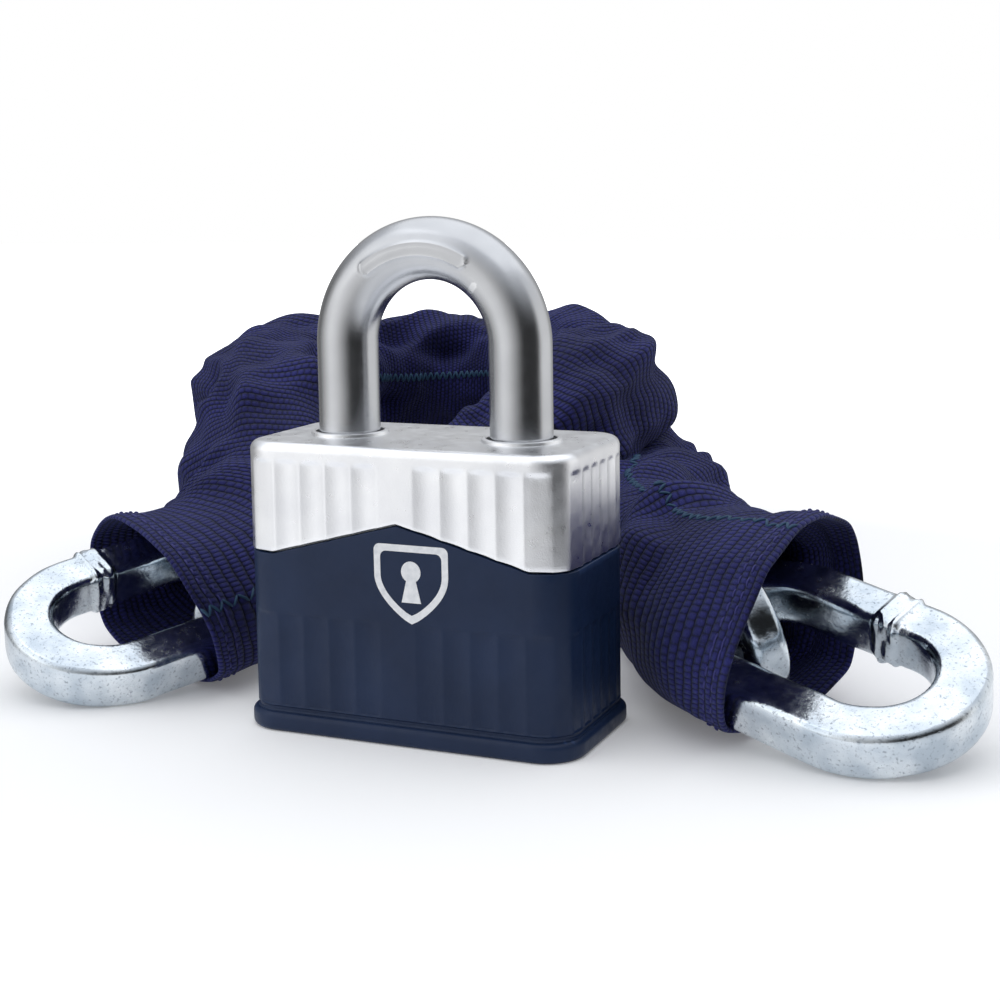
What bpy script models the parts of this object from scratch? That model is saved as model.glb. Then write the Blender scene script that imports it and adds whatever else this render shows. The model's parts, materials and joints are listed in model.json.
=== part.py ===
"""Chain lock: a shackle padlock lying in front of a square-bar chain in a fabric sleeve.

Frame: metres, +Z up, origin on the ground under the middle of the whole lock's footprint.
+X runs along the padlock's width, and its front face looks to -Y.
"""
import math

import bmesh
import bpy
import numpy as np
from mathutils import Matrix, Vector

MM = 0.001
GAP = 0.3 * MM

# Padlock case
BODY_WIDTH = 67.4 * MM
BODY_DEPTH = 34.3 * MM
BODY_HEIGHT = 55.9 * MM
BODY_CORNER = 7.0 * MM
TOP_ROUNDING = 1.8 * MM
SIDE_WALL = 2.4 * MM
TOP_WALL = 2.6 * MM
FLOOR_WALL = 2.9 * MM
FLANGE_LIP = 0.9 * MM
FLANGE_HEIGHT = 3.8 * MM
CHEVRON_SHOULDER = 34.9 * MM
CHEVRON_PEAK = 41.9 * MM
CHEVRON_HALF_WIDTH = 26.5 * MM
PARTING_GAP = 0.35 * MM

# Shackle
BAR_RADIUS = 6.0 * MM
LEG_X = 18.3 * MM
ARCH_CENTRE_Z = 73.8 * MM
HEEL_END_Z = 8.2 * MM
TOE_END_Z = 37.0 * MM
SHACKLE_TRAVEL = 20.0 * MM
BORE_RADIUS = BAR_RADIUS + GAP
RIM_INNER = 6.7 * MM
RIM_OUTER = 7.8 * MM
RIM_HEIGHT = 0.7 * MM
HEEL_FLAT_DEPTH = 1.6 * MM
HEEL_GROOVE_START = 11.2 * MM
HEEL_GROOVE_END = 15.2 * MM
HEEL_FLAT_END = 35.0 * MM

# Ball locking
BALL_RADIUS = 4.5 * MM
BALL_Z = 44.0 * MM
BALL_OPEN_X = 7.5 * MM
BALL_THROW = 2.8 * MM
CAM_MAX_RADIUS = 5.9 * MM

# Cylinder and pins
PLUG_RADIUS = 6.2 * MM
PLUG_BORE = PLUG_RADIUS + GAP
HOUSING_RADIUS = 8.5 * MM
HOUSING_BOTTOM = 1.2 * MM
HOUSING_TOP = 30.0 * MM
STACK_HALF_WIDTH = 3.4 * MM
STACK_OUTER_Y = 12.4 * MM
COVER_OUTER_Y = 13.25 * MM
STACK_CAVITY_Y = 13.55 * MM
PIN_RADIUS = 1.15 * MM
PIN_BORE = 1.45 * MM
PIN_HEIGHTS = [z * MM for z in (7.5, 11.5, 15.5, 19.5, 23.5)]
KEY_PIN_LENGTHS = [length * MM for length in (4.2, 5.0, 4.6, 5.4, 4.0)]
CHAMBER_BOTTOM_Y = -0.45 * MM
KEY_PIN_OUTER_Y = PLUG_RADIUS - 0.15 * MM
DRIVER_INNER_Y = PLUG_RADIUS + 0.15 * MM
DRIVER_LENGTH = 3.0 * MM
HEEL_PIN_RADIUS = 1.3 * MM
HEEL_PIN_Z = 33.0 * MM
CYLINDER_PIN_RADIUS = 1.4 * MM
CYLINDER_PIN_Z = 18.0 * MM

# Chain: square bar with rounded edges, the two end links heavier than the rest
END_BAR = 10.0 * MM
INNER_BAR = 7.5 * MM
BAR_EDGE = 2.0 * MM
INNER_LINK_OPENING = 16.6 * MM
INNER_LINK_PITCH = 37.6 * MM
END_LINK_OPENING = 22.4 * MM
END_LINK_PITCH = 45.0 * MM
WELD_SWELL = 1.12
END_SPACING = 32.4 * MM
INNER_SPACING = 30.8 * MM
SETTLED_ROLL = math.radians(-45)
ROLL_SETTLE = 3

# End links: centre, then yaw, pitch and roll in degrees of the way the link points
RIGHT_END = (Vector((71.3, 16.4, 14.3)) * MM, -21.0, 10.2, 20.2)
LEFT_END = (Vector((-70.6, 6.9, 14.2)) * MM, 241.6, 8.8, -22.2)

# Chain centre line from the right end link to the left one, in two stacked turns.
# Each station: x, y, z of the chain, then the sleeve's half width and half height.
LAYER_1 = 16.4
LAYER_2 = 48.8
BACK_LAYER_2 = 46.8
STATIONS = [
    (71.3, 16.4, 14.3, 27.5, 22.5),
    (58.0, 21.5, 18.2, 24.5, 20.7),
    (47.8, 30.2, 18.6, 20.2, 19.7),
    (39.6, 42.6, 18.2, 19.6, 18.2),
    (28.5, 64.0, 16.8, 18.4, 16.6),
    (16.0, 87.0, LAYER_1, 18.0, 16.0),
    (8.0, 113.0, LAYER_1, 18.0, 16.0),
    (-1.0, 141.0, LAYER_1, 18.5, 16.0),
    (-17.0, 170.0, LAYER_1, 19.0, 16.0),
    (-42.0, 194.0, LAYER_1, 19.0, 16.0),
    (-74.0, 203.0, LAYER_1, 19.0, 16.0),
    (-104.0, 192.0, LAYER_1, 19.0, 16.0),
    (-123.0, 166.0, LAYER_1, 19.0, 16.0),
    (-126.0, 135.0, LAYER_1, 19.0, 16.0),
    (-112.0, 109.0, LAYER_1, 19.0, 16.0),
    (-86.0, 94.5, LAYER_1, 18.5, 16.0),
    (-60.0, 92.8, LAYER_1 + 1.8, 18.4, 16.2),
    (-39.5, 98.5, 22.6, 19.0, 16.6),
    (-26.0, 112.0, 33.0, 18.4, 16.2),
    (-20.0, 130.0, 43.3, 19.0, 16.2),
    (-20.5, 151.0, LAYER_2 - 1.2, 19.0, 16.0),
    (-32.0, 174.0, BACK_LAYER_2, 18.5, 16.0),
    (-56.0, 186.0, BACK_LAYER_2, 18.5, 16.0),
    (-83.0, 182.0, BACK_LAYER_2, 18.5, 16.0),
    (-103.0, 163.0, LAYER_2, 18.5, 16.0),
    (-109.5, 137.0, LAYER_2, 18.5, 16.0),
    (-105.0, 114.0, LAYER_2, 18.0, 16.0),
    (-95.0, 93.0, LAYER_2, 18.3, 16.0),
    (-84.0, 75.0, 46.0, 18.4, 16.3),
    (-72.5, 58.0, 34.0, 18.5, 16.2),
    (-66.0, 41.5, 22.6, 21.0, 17.8),
    (-63.6, 25.0, 18.1, 25.1, 19.4),
    (-70.6, 6.9, 14.2, 28.8, 19.3),
]
SLEEVE_WALL = 0.6 * MM
SLEEVE_SIDES = 16
SLEEVE_STEP = 11.0 * MM
SLEEVE_POWER = 2.7
MOUTH_POWER = 3.0
MOUTH_START = 3.0 * MM
MOUTH_LEAN = 8.0 * MM
MOUTH_LENGTH = 24.0 * MM
TAIL_SPLIT_GAP = 5.5 * MM
RIGHT_TAIL_LINKS = 2
LEFT_TAIL_LINKS = 1

# The whole lock stands with the middle of its footprint on the world origin. Every size
# above counts from the centre of the padlock's base, which this offset puts in its place.
FOOTPRINT_CENTRE = Vector((-21.3, 98.8, 0.0)) * MM

parts = None
cutters = None


def clear_scene():
    for obj in list(bpy.data.objects):
        bpy.data.objects.remove(obj, do_unlink=True)


def new_collection(name):
    collection = bpy.data.collections.new(name)
    bpy.context.scene.collection.children.link(collection)
    return collection


def new_material(name, colour, metallic, roughness):
    material = bpy.data.materials.new(name)
    material.use_nodes = True
    shader = material.node_tree.nodes["Principled BSDF"]
    shader.inputs["Base Color"].default_value = (*colour, 1.0)
    shader.inputs["Metallic"].default_value = metallic
    shader.inputs["Roughness"].default_value = roughness
    return material


def add_object(name, data, collection):
    obj = bpy.data.objects.new(name, data)
    collection.objects.link(obj)
    return obj


def bake(obj):
    """Swap an object for the mesh that its curve or modifiers make, with its caps welded on."""
    bpy.context.view_layer.update()
    evaluated = obj.evaluated_get(bpy.context.evaluated_depsgraph_get())
    mesh = bpy.data.meshes.new_from_object(evaluated)
    baked_bm = bmesh.new()
    baked_bm.from_mesh(mesh)
    bmesh.ops.remove_doubles(baked_bm, verts=baked_bm.verts, dist=0.002 * MM)
    baked_bm.to_mesh(mesh)
    baked_bm.free()
    matrix = obj.matrix_world.copy()
    name = obj.name
    collection = obj.users_collection[0]
    bpy.data.objects.remove(obj, do_unlink=True)
    baked = add_object(name, mesh, collection)
    baked.matrix_world = matrix
    return baked


def finish(obj, material, sharp_angle=35.0):
    """Give a part its material and its shading."""
    obj.data.materials.clear()
    obj.data.materials.append(material)
    obj.data.shade_smooth()
    obj.data.set_sharp_from_angle(angle=math.radians(sharp_angle))
    return obj


def make_cutter(obj):
    for collection in list(obj.users_collection):
        collection.objects.unlink(obj)
    cutters.objects.link(obj)
    obj.hide_render = True
    obj.display_type = "WIRE"
    return obj


def combine(target, tool, operation="DIFFERENCE"):
    make_cutter(tool)
    modifier = target.modifiers.new(tool.name, "BOOLEAN")
    modifier.operation = operation
    modifier.object = tool
    modifier.solver = "EXACT"


def box(name, low, high):
    low, high = Vector(low), Vector(high)
    mesh = bpy.data.meshes.new(name)
    box_bm = bmesh.new()
    bmesh.ops.create_cube(box_bm, size=1.0, matrix=Matrix.Diagonal((*(high - low), 1.0)))
    box_bm.to_mesh(mesh)
    box_bm.free()
    obj = add_object(name, mesh, parts)
    obj.location = (low + high) / 2
    return obj


def rod(name, radius, start, end, sides=24, end_radius=None):
    """A cylinder, or a cone, from start to end, with its origin at its middle."""
    start, end = Vector(start), Vector(end)
    mesh = bpy.data.meshes.new(name)
    rod_bm = bmesh.new()
    tip = radius if end_radius is None else end_radius
    bmesh.ops.create_cone(rod_bm, cap_ends=True, segments=sides, radius1=radius, radius2=tip,
                          depth=(end - start).length)
    rod_bm.to_mesh(mesh)
    rod_bm.free()
    obj = add_object(name, mesh, parts)
    obj.matrix_world = Matrix.Translation((start + end) / 2) @ (
        (end - start).to_track_quat("Z", "Y").to_matrix().to_4x4())
    return obj


def ball(name, radius, centre, segments=16, rings=10):
    mesh = bpy.data.meshes.new(name)
    ball_bm = bmesh.new()
    bmesh.ops.create_uvsphere(ball_bm, u_segments=segments, v_segments=rings, radius=radius)
    ball_bm.to_mesh(mesh)
    ball_bm.free()
    obj = add_object(name, mesh, parts)
    obj.location = centre
    return obj


def poly_curve(name, points, cyclic, dimensions="3D", radii=None):
    curve = bpy.data.curves.new(name, "CURVE")
    curve.dimensions = dimensions
    spline = curve.splines.new("POLY")
    spline.points.add(len(points) - 1)
    for index, point in enumerate(points):
        spline.points[index].co = (*point, 1.0)
        if radii:
            spline.points[index].radius = radii[index]
    spline.use_cyclic_u = cyclic
    return curve


def slab(name, outline, low, high, upright=False):
    """A flat outline made solid between two heights, or, if upright, between two Y values."""
    curve = poly_curve(name, [(x, y, 0.0) for x, y in outline], True, "2D")
    curve.fill_mode = "BOTH"
    curve.extrude = (high - low) / 2
    obj = add_object(name, curve, parts)
    middle = (low + high) / 2
    if upright:
        obj.matrix_world = Matrix.Translation((0, middle, 0)) @ Matrix.Rotation(math.pi / 2, 4, "X")
    else:
        obj.location.z = middle
    return bake(obj)


def ring(name, inner, outer, low, high, x=0.0, steps=32):
    """A plain washer about a vertical axis, turned from a rectangle."""
    mesh = bpy.data.meshes.new(name)
    profile = [(outer, 0, high), (outer, 0, low), (inner, 0, low), (inner, 0, high)]
    edges = [(0, 1), (1, 2), (2, 3), (3, 0)]
    mesh.from_pydata(profile, edges, [])
    obj = add_object(name, mesh, parts)
    obj.location.x = x
    screw = obj.modifiers.new("turn", "SCREW")
    screw.steps = steps
    screw.render_steps = steps
    screw.use_merge_vertices = True
    screw.merge_threshold = 0.005 * MM
    return bake(obj)


def tube(name, points, radius, bevel_resolution, cyclic=False):
    curve = poly_curve(name, points, cyclic)
    curve.bevel_depth = radius
    curve.bevel_resolution = bevel_resolution
    curve.use_fill_caps = True
    return bake(add_object(name, curve, parts))


def rounded_rectangle(width, depth, corner, steps=5):
    points = []
    for turn, (sx, sy) in enumerate(((1, 1), (-1, 1), (-1, -1), (1, -1))):
        for step in range(steps + 1):
            angle = math.radians(90 * (turn + step / steps))
            points.append((sx * (width / 2 - corner) + corner * math.cos(angle),
                           sy * (depth / 2 - corner) + corner * math.sin(angle)))
    return points


def case_block(name, grow, low, high, rounding):
    """The padlock's plan shape as a block, with its top and bottom edges rounded."""
    outline = rounded_rectangle(BODY_WIDTH + 2 * grow, BODY_DEPTH + 2 * grow, BODY_CORNER + grow)
    block = slab(name, outline, low, high)
    if rounding:
        bevel = block.modifiers.new("rounded_edges", "BEVEL")
        bevel.width = rounding
        bevel.segments = 3
        bevel.limit_method = "ANGLE"
        bevel.angle_limit = math.radians(60)
        block = bake(block)
    return block


def chevron_slab(name, above, offset):
    """Everything above or below the parting line, as one thick slab through the case."""
    far_x = BODY_WIDTH
    far_z = 2 * BODY_HEIGHT if above else -BODY_HEIGHT
    line = [(-far_x, CHEVRON_SHOULDER), (-CHEVRON_HALF_WIDTH, CHEVRON_SHOULDER), (0.0, CHEVRON_PEAK),
            (CHEVRON_HALF_WIDTH, CHEVRON_SHOULDER), (far_x, CHEVRON_SHOULDER)]
    outline = [(x, z + offset) for x, z in line] + [(far_x, far_z), (-far_x, far_z)]
    return slab(name, outline, -BODY_DEPTH, BODY_DEPTH, upright=True)


def core_outline(clearance):
    return rounded_rectangle(BODY_WIDTH - 2 * (SIDE_WALL - clearance),
                             BODY_DEPTH - 2 * (SIDE_WALL - clearance), BODY_CORNER - SIDE_WALL + clearance)


def upper_shell(material):
    """Die-cast cover over the top of the body, with a raised rim round each leg."""
    shell = case_block("upper_shell", 0.0, 25 * MM, BODY_HEIGHT, TOP_ROUNDING)
    combine(shell, chevron_slab("cut_below_parting", False, 0.0))
    combine(shell, slab("cut_shell_hollow", core_outline(GAP), 0.0, BODY_HEIGHT - TOP_WALL))
    for side, x in (("heel", -LEG_X), ("toe", LEG_X)):
        combine(shell, rod(f"add_rim_{side}", RIM_OUTER, (x, 0, BODY_HEIGHT - 0.6 * MM),
                           (x, 0, BODY_HEIGHT + RIM_HEIGHT), 32), "UNION")
        combine(shell, rod(f"cut_rim_{side}", RIM_INNER, (x, 0, 50 * MM), (x, 0, 60 * MM), 32))
    return finish(shell, material)


def lower_boot(material):
    """Moulded boot round the lower half of the body, with a rounded foot flange."""
    boot = case_block("lower_boot", -0.15 * MM, 0.6 * MM, 45 * MM, 0.0)
    combine(boot, case_block("add_flange", FLANGE_LIP, 0.0, FLANGE_HEIGHT, 0.9 * MM), "UNION")
    combine(boot, chevron_slab("cut_above_parting", True, -PARTING_GAP))
    combine(boot, slab("cut_boot_hollow", core_outline(GAP), FLOOR_WALL, 50 * MM))
    combine(boot, rod("cut_key_hole", HOUSING_RADIUS + 2 * GAP, (0, 0, -1 * MM), (0, 0, 5 * MM), 32))
    return finish(boot, material)


def lock_core(material):
    """Hardened body block with the bores for shackle, cylinder, cam, balls and pins."""
    core = slab("lock_core", core_outline(0.0), FLOOR_WALL + GAP, BODY_HEIGHT - TOP_WALL - GAP)
    cuts = [
        rod("cut_heel_bore", BORE_RADIUS, (-LEG_X, 0, 5 * MM), (-LEG_X, 0, 60 * MM), 32),
        rod("cut_toe_bore", BORE_RADIUS, (LEG_X, 0, 35 * MM), (LEG_X, 0, 60 * MM), 32),
        rod("cut_cylinder", HOUSING_RADIUS + GAP, (0, 0, 0), (0, 0, HOUSING_TOP + GAP), 32),
        box("cut_pin_stack", (-STACK_HALF_WIDTH - GAP, 0, 0),
            (STACK_HALF_WIDTH + GAP, STACK_CAVITY_Y, HOUSING_TOP + 0.35 * MM)),
        rod("cut_clip_space", 7.8 * MM, (0, 0, 29 * MM), (0, 0, 33.1 * MM), 32),
        rod("cut_cam_bore", 6.3 * MM, (0, 0, 32 * MM), (0, 0, 50 * MM), 32),
        rod("cut_ball_bore", BALL_RADIUS + GAP, (-14 * MM, 0, BALL_Z), (14 * MM, 0, BALL_Z), 24),
        rod("cut_heel_pin", HEEL_PIN_RADIUS + GAP, (heel_pin_x(), -20 * MM, HEEL_PIN_Z),
            (heel_pin_x(), 20 * MM, HEEL_PIN_Z), 16),
        rod("cut_cylinder_pin", CYLINDER_PIN_RADIUS + GAP, (7 * MM, 0, CYLINDER_PIN_Z),
            (40 * MM, 0, CYLINDER_PIN_Z), 16),
    ]
    for cutter in cuts:
        combine(core, cutter)
    return finish(core, material)


def heel_pin_x():
    """The retaining pin stands clear of the flat on the outer side of the heel leg."""
    return -LEG_X - BAR_RADIUS + HEEL_FLAT_DEPTH - GAP - HEEL_PIN_RADIUS


def shackle(material):
    """U of round bar: long heel leg, short toe leg, ball notches, and a flat for the heel pin."""
    arch_steps = 24
    points = [(-LEG_X, 0, HEEL_END_Z)]
    for step in range(arch_steps + 1):
        angle = math.pi * (1 - step / arch_steps)
        points.append((LEG_X * math.cos(angle), 0, ARCH_CENTRE_Z + LEG_X * math.sin(angle)))
    points.append((LEG_X, 0, TOE_END_Z))
    bar = tube("shackle", points, BAR_RADIUS, 8)
    for side in (-1, 1):
        notch_x = side * (BALL_OPEN_X + BALL_THROW)
        combine(bar, ball(f"cut_notch_{side}", BALL_RADIUS + 0.4 * MM, (notch_x, 0, BALL_Z)))
    flat_x = -LEG_X - BAR_RADIUS + HEEL_FLAT_DEPTH
    combine(bar, box("cut_heel_flat", (-LEG_X - 2 * BAR_RADIUS, -10 * MM, HEEL_GROOVE_START),
                     (flat_x, 10 * MM, HEEL_FLAT_END)))
    combine(bar, ring("cut_heel_groove", BAR_RADIUS - HEEL_FLAT_DEPTH, 2 * BAR_RADIUS,
                      HEEL_GROOVE_START, HEEL_GROOVE_END, -LEG_X, 24))
    combine(bar, rod("cut_spring_hole", 3.4 * MM, (-LEG_X, 0, 5 * MM), (-LEG_X, 0, 20.5 * MM), 16))
    return finish(bar, material)


def cylinder_housing(material):
    housing = rod("cylinder_housing", HOUSING_RADIUS, (0, 0, HOUSING_BOTTOM), (0, 0, HOUSING_TOP), 32)
    combine(housing, box("add_pin_stack", (-STACK_HALF_WIDTH, 0, FLOOR_WALL + 2 * GAP),
                         (STACK_HALF_WIDTH, STACK_OUTER_Y, HOUSING_TOP - 0.05 * MM)), "UNION")
    combine(housing, rod("cut_plug_bore", PLUG_BORE, (0, 0, 0), (0, 0, 35 * MM), 32))
    for index, z in enumerate(PIN_HEIGHTS):
        combine(housing, rod(f"cut_chamber_{index}", PIN_BORE, (0, 2 * MM, z), (0, 20 * MM, z), 12))
    combine(housing, rod("cut_pin_dimple", CYLINDER_PIN_RADIUS + GAP, (7.1 * MM, 0, CYLINDER_PIN_Z),
                         (12 * MM, 0, CYLINDER_PIN_Z), 12))
    return finish(housing, material)


def plug(material):
    """The part the key turns: keyway, pin chambers, clip neck and drive tongue."""
    body = rod("cylinder_plug", PLUG_RADIUS, (0, 0, 1.5 * MM), (0, 0, HOUSING_TOP), 32)
    combine(body, rod("add_plug_neck", 4.4 * MM, (0, 0, 29 * MM), (0, 0, 33 * MM), 24), "UNION")
    combine(body, box("add_tongue", (-0.9 * MM, -3.2 * MM, 32 * MM), (0.9 * MM, 3.2 * MM, 36 * MM)),
            "UNION")
    combine(body, box("cut_keyway", (-1.1 * MM, -4.5 * MM, 0), (1.1 * MM, 4.6 * MM, 27 * MM)))
    for index, z in enumerate(PIN_HEIGHTS):
        combine(body, rod(f"cut_plug_chamber_{index}", PIN_BORE, (0, CHAMBER_BOTTOM_Y - GAP, z),
                          (0, 10 * MM, z), 12))
    return finish(body, material)


def cam_radius(angle):
    """Radius that just clears the ball at every turn of the plug, capped by the bore."""
    radius = CAM_MAX_RADIUS
    reach = BALL_RADIUS + GAP
    for degree in range(0, 91, 3):
        distance = BALL_OPEN_X + BALL_THROW * degree / 90
        for half_turn in (0.0, math.pi):
            offset = angle - math.radians(degree) - half_turn
            across = distance * math.sin(offset)
            if math.cos(offset) > 0 and abs(across) < reach:
                hit = distance * math.cos(offset) - math.sqrt(reach ** 2 - across ** 2)
                radius = min(radius, hit)
    return radius


def ball_cam(material):
    """Drives the two balls apart: two pockets at open, two full sides at locked."""
    steps = 40
    outline = []
    for step in range(steps):
        angle = 2 * math.pi * step / steps
        radius = cam_radius(angle)
        outline.append((radius * math.cos(angle), radius * math.sin(angle)))
    cam = slab("ball_cam", outline, 38 * MM, 49.5 * MM)
    combine(cam, rod("add_cam_stem", 5.4 * MM, (0, 0, 33.4 * MM), (0, 0, 38.6 * MM), 24), "UNION")
    combine(cam, box("cut_tongue_slot", (-1.2 * MM, -3.5 * MM, 30 * MM), (1.2 * MM, 3.5 * MM, 36.3 * MM)))
    return finish(cam, material)


def helix(name, radius, wire, turns, start, end, steps_per_turn=8):
    """A coil spring from start to end, as a bevelled poly line."""
    start, end = Vector(start), Vector(end)
    along = (end - start)
    side = Vector((1, 0, 0))
    other = along.normalized().cross(side)
    points = []
    for step in range(turns * steps_per_turn + 1):
        angle = 2 * math.pi * step / steps_per_turn
        share = step / (turns * steps_per_turn)
        points.append(start + along * share + radius * (math.cos(angle) * side + math.sin(angle) * other))
    return tube(name, points, wire, 0)


def pin_stacks(brass, steel, spring_steel):
    spring_start = DRIVER_INNER_Y + DRIVER_LENGTH + 0.35 * MM
    for index, z in enumerate(PIN_HEIGHTS):
        number = index + 1
        length = KEY_PIN_LENGTHS[index]
        tip_length = 1.0 * MM
        key_pin = rod(f"key_pin_{number}", PIN_RADIUS, (0, KEY_PIN_OUTER_Y - length + tip_length, z),
                      (0, KEY_PIN_OUTER_Y, z), 12)
        combine(key_pin, rod(f"add_pin_tip_{number}", 0.4 * MM, (0, KEY_PIN_OUTER_Y - length, z),
                             (0, KEY_PIN_OUTER_Y - length + 1.01 * tip_length, z), 12, PIN_RADIUS), "UNION")
        finish(key_pin, brass)
        driver = rod(f"driver_pin_{number}", PIN_RADIUS, (0, DRIVER_INNER_Y, z),
                     (0, DRIVER_INNER_Y + DRIVER_LENGTH, z), 12)
        finish(driver, steel)
        spring = helix(f"pin_spring_{number}", 0.85 * MM, 0.2 * MM, 3, (0, spring_start + 0.2 * MM, z),
                       (0, STACK_OUTER_Y - 0.3 * MM, z))
        finish(spring, spring_steel)


def small_parts(steel, spring_steel):
    cover = box("chamber_cover", (-STACK_HALF_WIDTH, STACK_OUTER_Y + 0.1 * MM, 4 * MM),
                (STACK_HALF_WIDTH, COVER_OUTER_Y, HOUSING_TOP - 0.5 * MM))
    finish(cover, steel)
    clip = ring("plug_clip", 4.7 * MM, 7.4 * MM, 30.4 * MM, 31.4 * MM, 0.0, 24)
    combine(clip, box("cut_clip_mouth", (-3 * MM, -9 * MM, 28 * MM), (3 * MM, 0, 34 * MM)))
    finish(clip, steel)
    heel_pin = rod("heel_retaining_pin", HEEL_PIN_RADIUS, (heel_pin_x(), -14.2 * MM, HEEL_PIN_Z),
                   (heel_pin_x(), 14.2 * MM, HEEL_PIN_Z), 16)
    finish(heel_pin, steel)
    cylinder_pin = rod("cylinder_retaining_pin", CYLINDER_PIN_RADIUS, (7.4 * MM, 0, CYLINDER_PIN_Z),
                       (30.8 * MM, 0, CYLINDER_PIN_Z), 16)
    finish(cylinder_pin, steel)
    for side, x in (("left", -BALL_OPEN_X), ("right", BALL_OPEN_X)):
        finish(ball(f"locking_ball_{side}", BALL_RADIUS, (x, 0, BALL_Z)), steel)
    spring = helix("shackle_spring", 2.5 * MM, 0.4 * MM, 5, (-LEG_X, 0, 5.8 * MM), (-LEG_X, 0, 19.6 * MM))
    finish(spring, spring_steel)


def bar_profile(bar, corner_steps):
    """The square bar's section as a closed curve, for links to be swept with."""
    points = [(x, y, 0.0) for x, y in rounded_rectangle(bar, bar, BAR_EDGE, corner_steps)]
    curve = poly_curve("guide_bar_section", points, True, "2D")
    guide = add_object("guide_bar_section", curve, cutters)
    guide.hide_render = True
    return guide


def link_mesh(name, bar, opening, pitch, arc_steps, corner_steps, weld):
    """One closed link lying in its own XY plane, long way along X."""
    radius = (opening + bar) / 2
    straight = (pitch - opening) / 2
    points, radii = [], []
    for end in (0, 1):
        for step in range(arc_steps + 1):
            angle = math.pi * (end - 0.5 + step / arc_steps)
            shift = straight if end == 0 else -straight
            points.append((shift + radius * math.cos(angle), radius * math.sin(angle), 0.0))
            radii.append(1.0)
        if weld and end == 0:
            for share, swell in ((0.05, 1.0), (0.12, WELD_SWELL), (0.3, WELD_SWELL), (0.37, 1.0)):
                points.append((straight * (1 - 2 * share), radius, 0.0))
                radii.append(swell)
    profile = bar_profile(bar, corner_steps)
    curve = poly_curve(name, points, True, "2D", radii)
    curve.fill_mode = "NONE"
    curve.bevel_mode = "OBJECT"
    curve.bevel_object = profile
    link = bake(add_object(name, curve, parts))
    mesh = link.data
    bpy.data.objects.remove(link, do_unlink=True)
    bpy.data.objects.remove(profile, do_unlink=True)
    link_bm = bmesh.new()
    link_bm.from_mesh(mesh)
    bmesh.ops.recalc_face_normals(link_bm, faces=link_bm.faces)
    link_bm.to_mesh(mesh)
    link_bm.free()
    return mesh


def turn_matrix(yaw, pitch, roll):
    return (Matrix.Rotation(math.radians(yaw), 4, "Z") @ Matrix.Rotation(math.radians(pitch), 4, "Y")
            @ Matrix.Rotation(math.radians(roll), 4, "X"))


class ChainPath:
    """A smooth line through the stations, read by distance from the right end link."""

    def __init__(self):
        stations = np.array(STATIONS) * MM
        padded = np.vstack([2 * stations[0] - stations[1], stations, 2 * stations[-1] - stations[-2]])
        samples = []
        for span in range(1, len(padded) - 2):
            a, b, c, d = padded[span - 1:span + 3]
            for t in np.linspace(0, 1, 24, endpoint=False):
                samples.append(0.5 * (2 * b + (c - a) * t + (2 * a - 5 * b + 4 * c - d) * t ** 2
                                      + (3 * b - a - 3 * c + d) * t ** 3))
        samples.append(stations[-1])
        self.samples = np.array(samples)
        steps = np.linalg.norm(np.diff(self.samples[:, :3], axis=0), axis=1)
        self.distance = np.concatenate([[0.0], np.cumsum(steps)])
        self.length = self.distance[-1]

    def at(self, distance):
        """Station values at a distance, carried on in a straight line past either end."""
        inside = min(max(distance, 0.0), self.length)
        values = np.array([np.interp(inside, self.distance, column) for column in self.samples.T])
        if distance != inside:
            values[:3] += (distance - inside) * np.array(self.tangent(inside))
        return values

    def tangent(self, distance, reach=2.0 * MM):
        low = max(distance - reach, 0.0)
        high = min(distance + reach, self.length)
        return Vector(self.at(high)[:3] - self.at(low)[:3]).normalized()

    def frame(self, distance, reach=2.0 * MM):
        """Tangent, level side vector and up vector."""
        tangent = self.tangent(distance, reach)
        side = Vector((0, 0, 1)).cross(tangent).normalized()
        return tangent, side, tangent.cross(side)


def link_roll(path, distance, width_vector):
    _, side, up = path.frame(distance)
    return math.atan2(width_vector.dot(up), width_vector.dot(side))


def nearest_roll(angle):
    """The same link attitude, half turns apart, that is nearest to the settled roll."""
    return SETTLED_ROLL + (angle - SETTLED_ROLL + math.pi / 2) % math.pi - math.pi / 2


def chain_layout(path):
    """Matrix of every link, from the right end link to the left one."""
    right_centre, *right_turn = RIGHT_END
    left_centre, *left_turn = LEFT_END
    right = Matrix.Translation(right_centre) @ turn_matrix(*right_turn)
    left = Matrix.Translation(left_centre) @ turn_matrix(*left_turn)
    count = round((path.length - 2 * END_SPACING) / INNER_SPACING) + 1
    spacing = (path.length - 2 * END_SPACING) / (count - 1)
    width_axis = Vector((0, 1, 0))
    first_roll = nearest_roll(link_roll(path, 0.0, right.to_3x3() @ width_axis))
    quarter = math.pi / 2
    last_roll = link_roll(path, path.length, left.to_3x3() @ width_axis)
    last_offset = nearest_roll(last_roll - (count + 1) * quarter)
    matrices = [right]
    for index in range(count):
        distance = END_SPACING + index * spacing
        tangent, side, up = path.frame(distance, 14.0 * MM)
        to_right = max(0.0, 1 - index / ROLL_SETTLE)
        to_left = max(0.0, 1 - (count - 1 - index) / ROLL_SETTLE)
        settled = (SETTLED_ROLL + to_right * (first_roll - SETTLED_ROLL)
                   + to_left * (last_offset - SETTLED_ROLL))
        roll = (index + 1) * quarter + settled
        width = math.cos(roll) * side + math.sin(roll) * up
        chord = (path.at(distance + 15 * MM)[:3] + path.at(distance - 15 * MM)[:3]) / 2
        centre = Vector((path.at(distance)[:3] + chord) / 2)
        axes = Matrix((tangent, width, tangent.cross(width))).transposed().to_4x4()
        matrices.append(Matrix.Translation(centre) @ axes)
    matrices.append(left)
    return matrices, spacing


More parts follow.
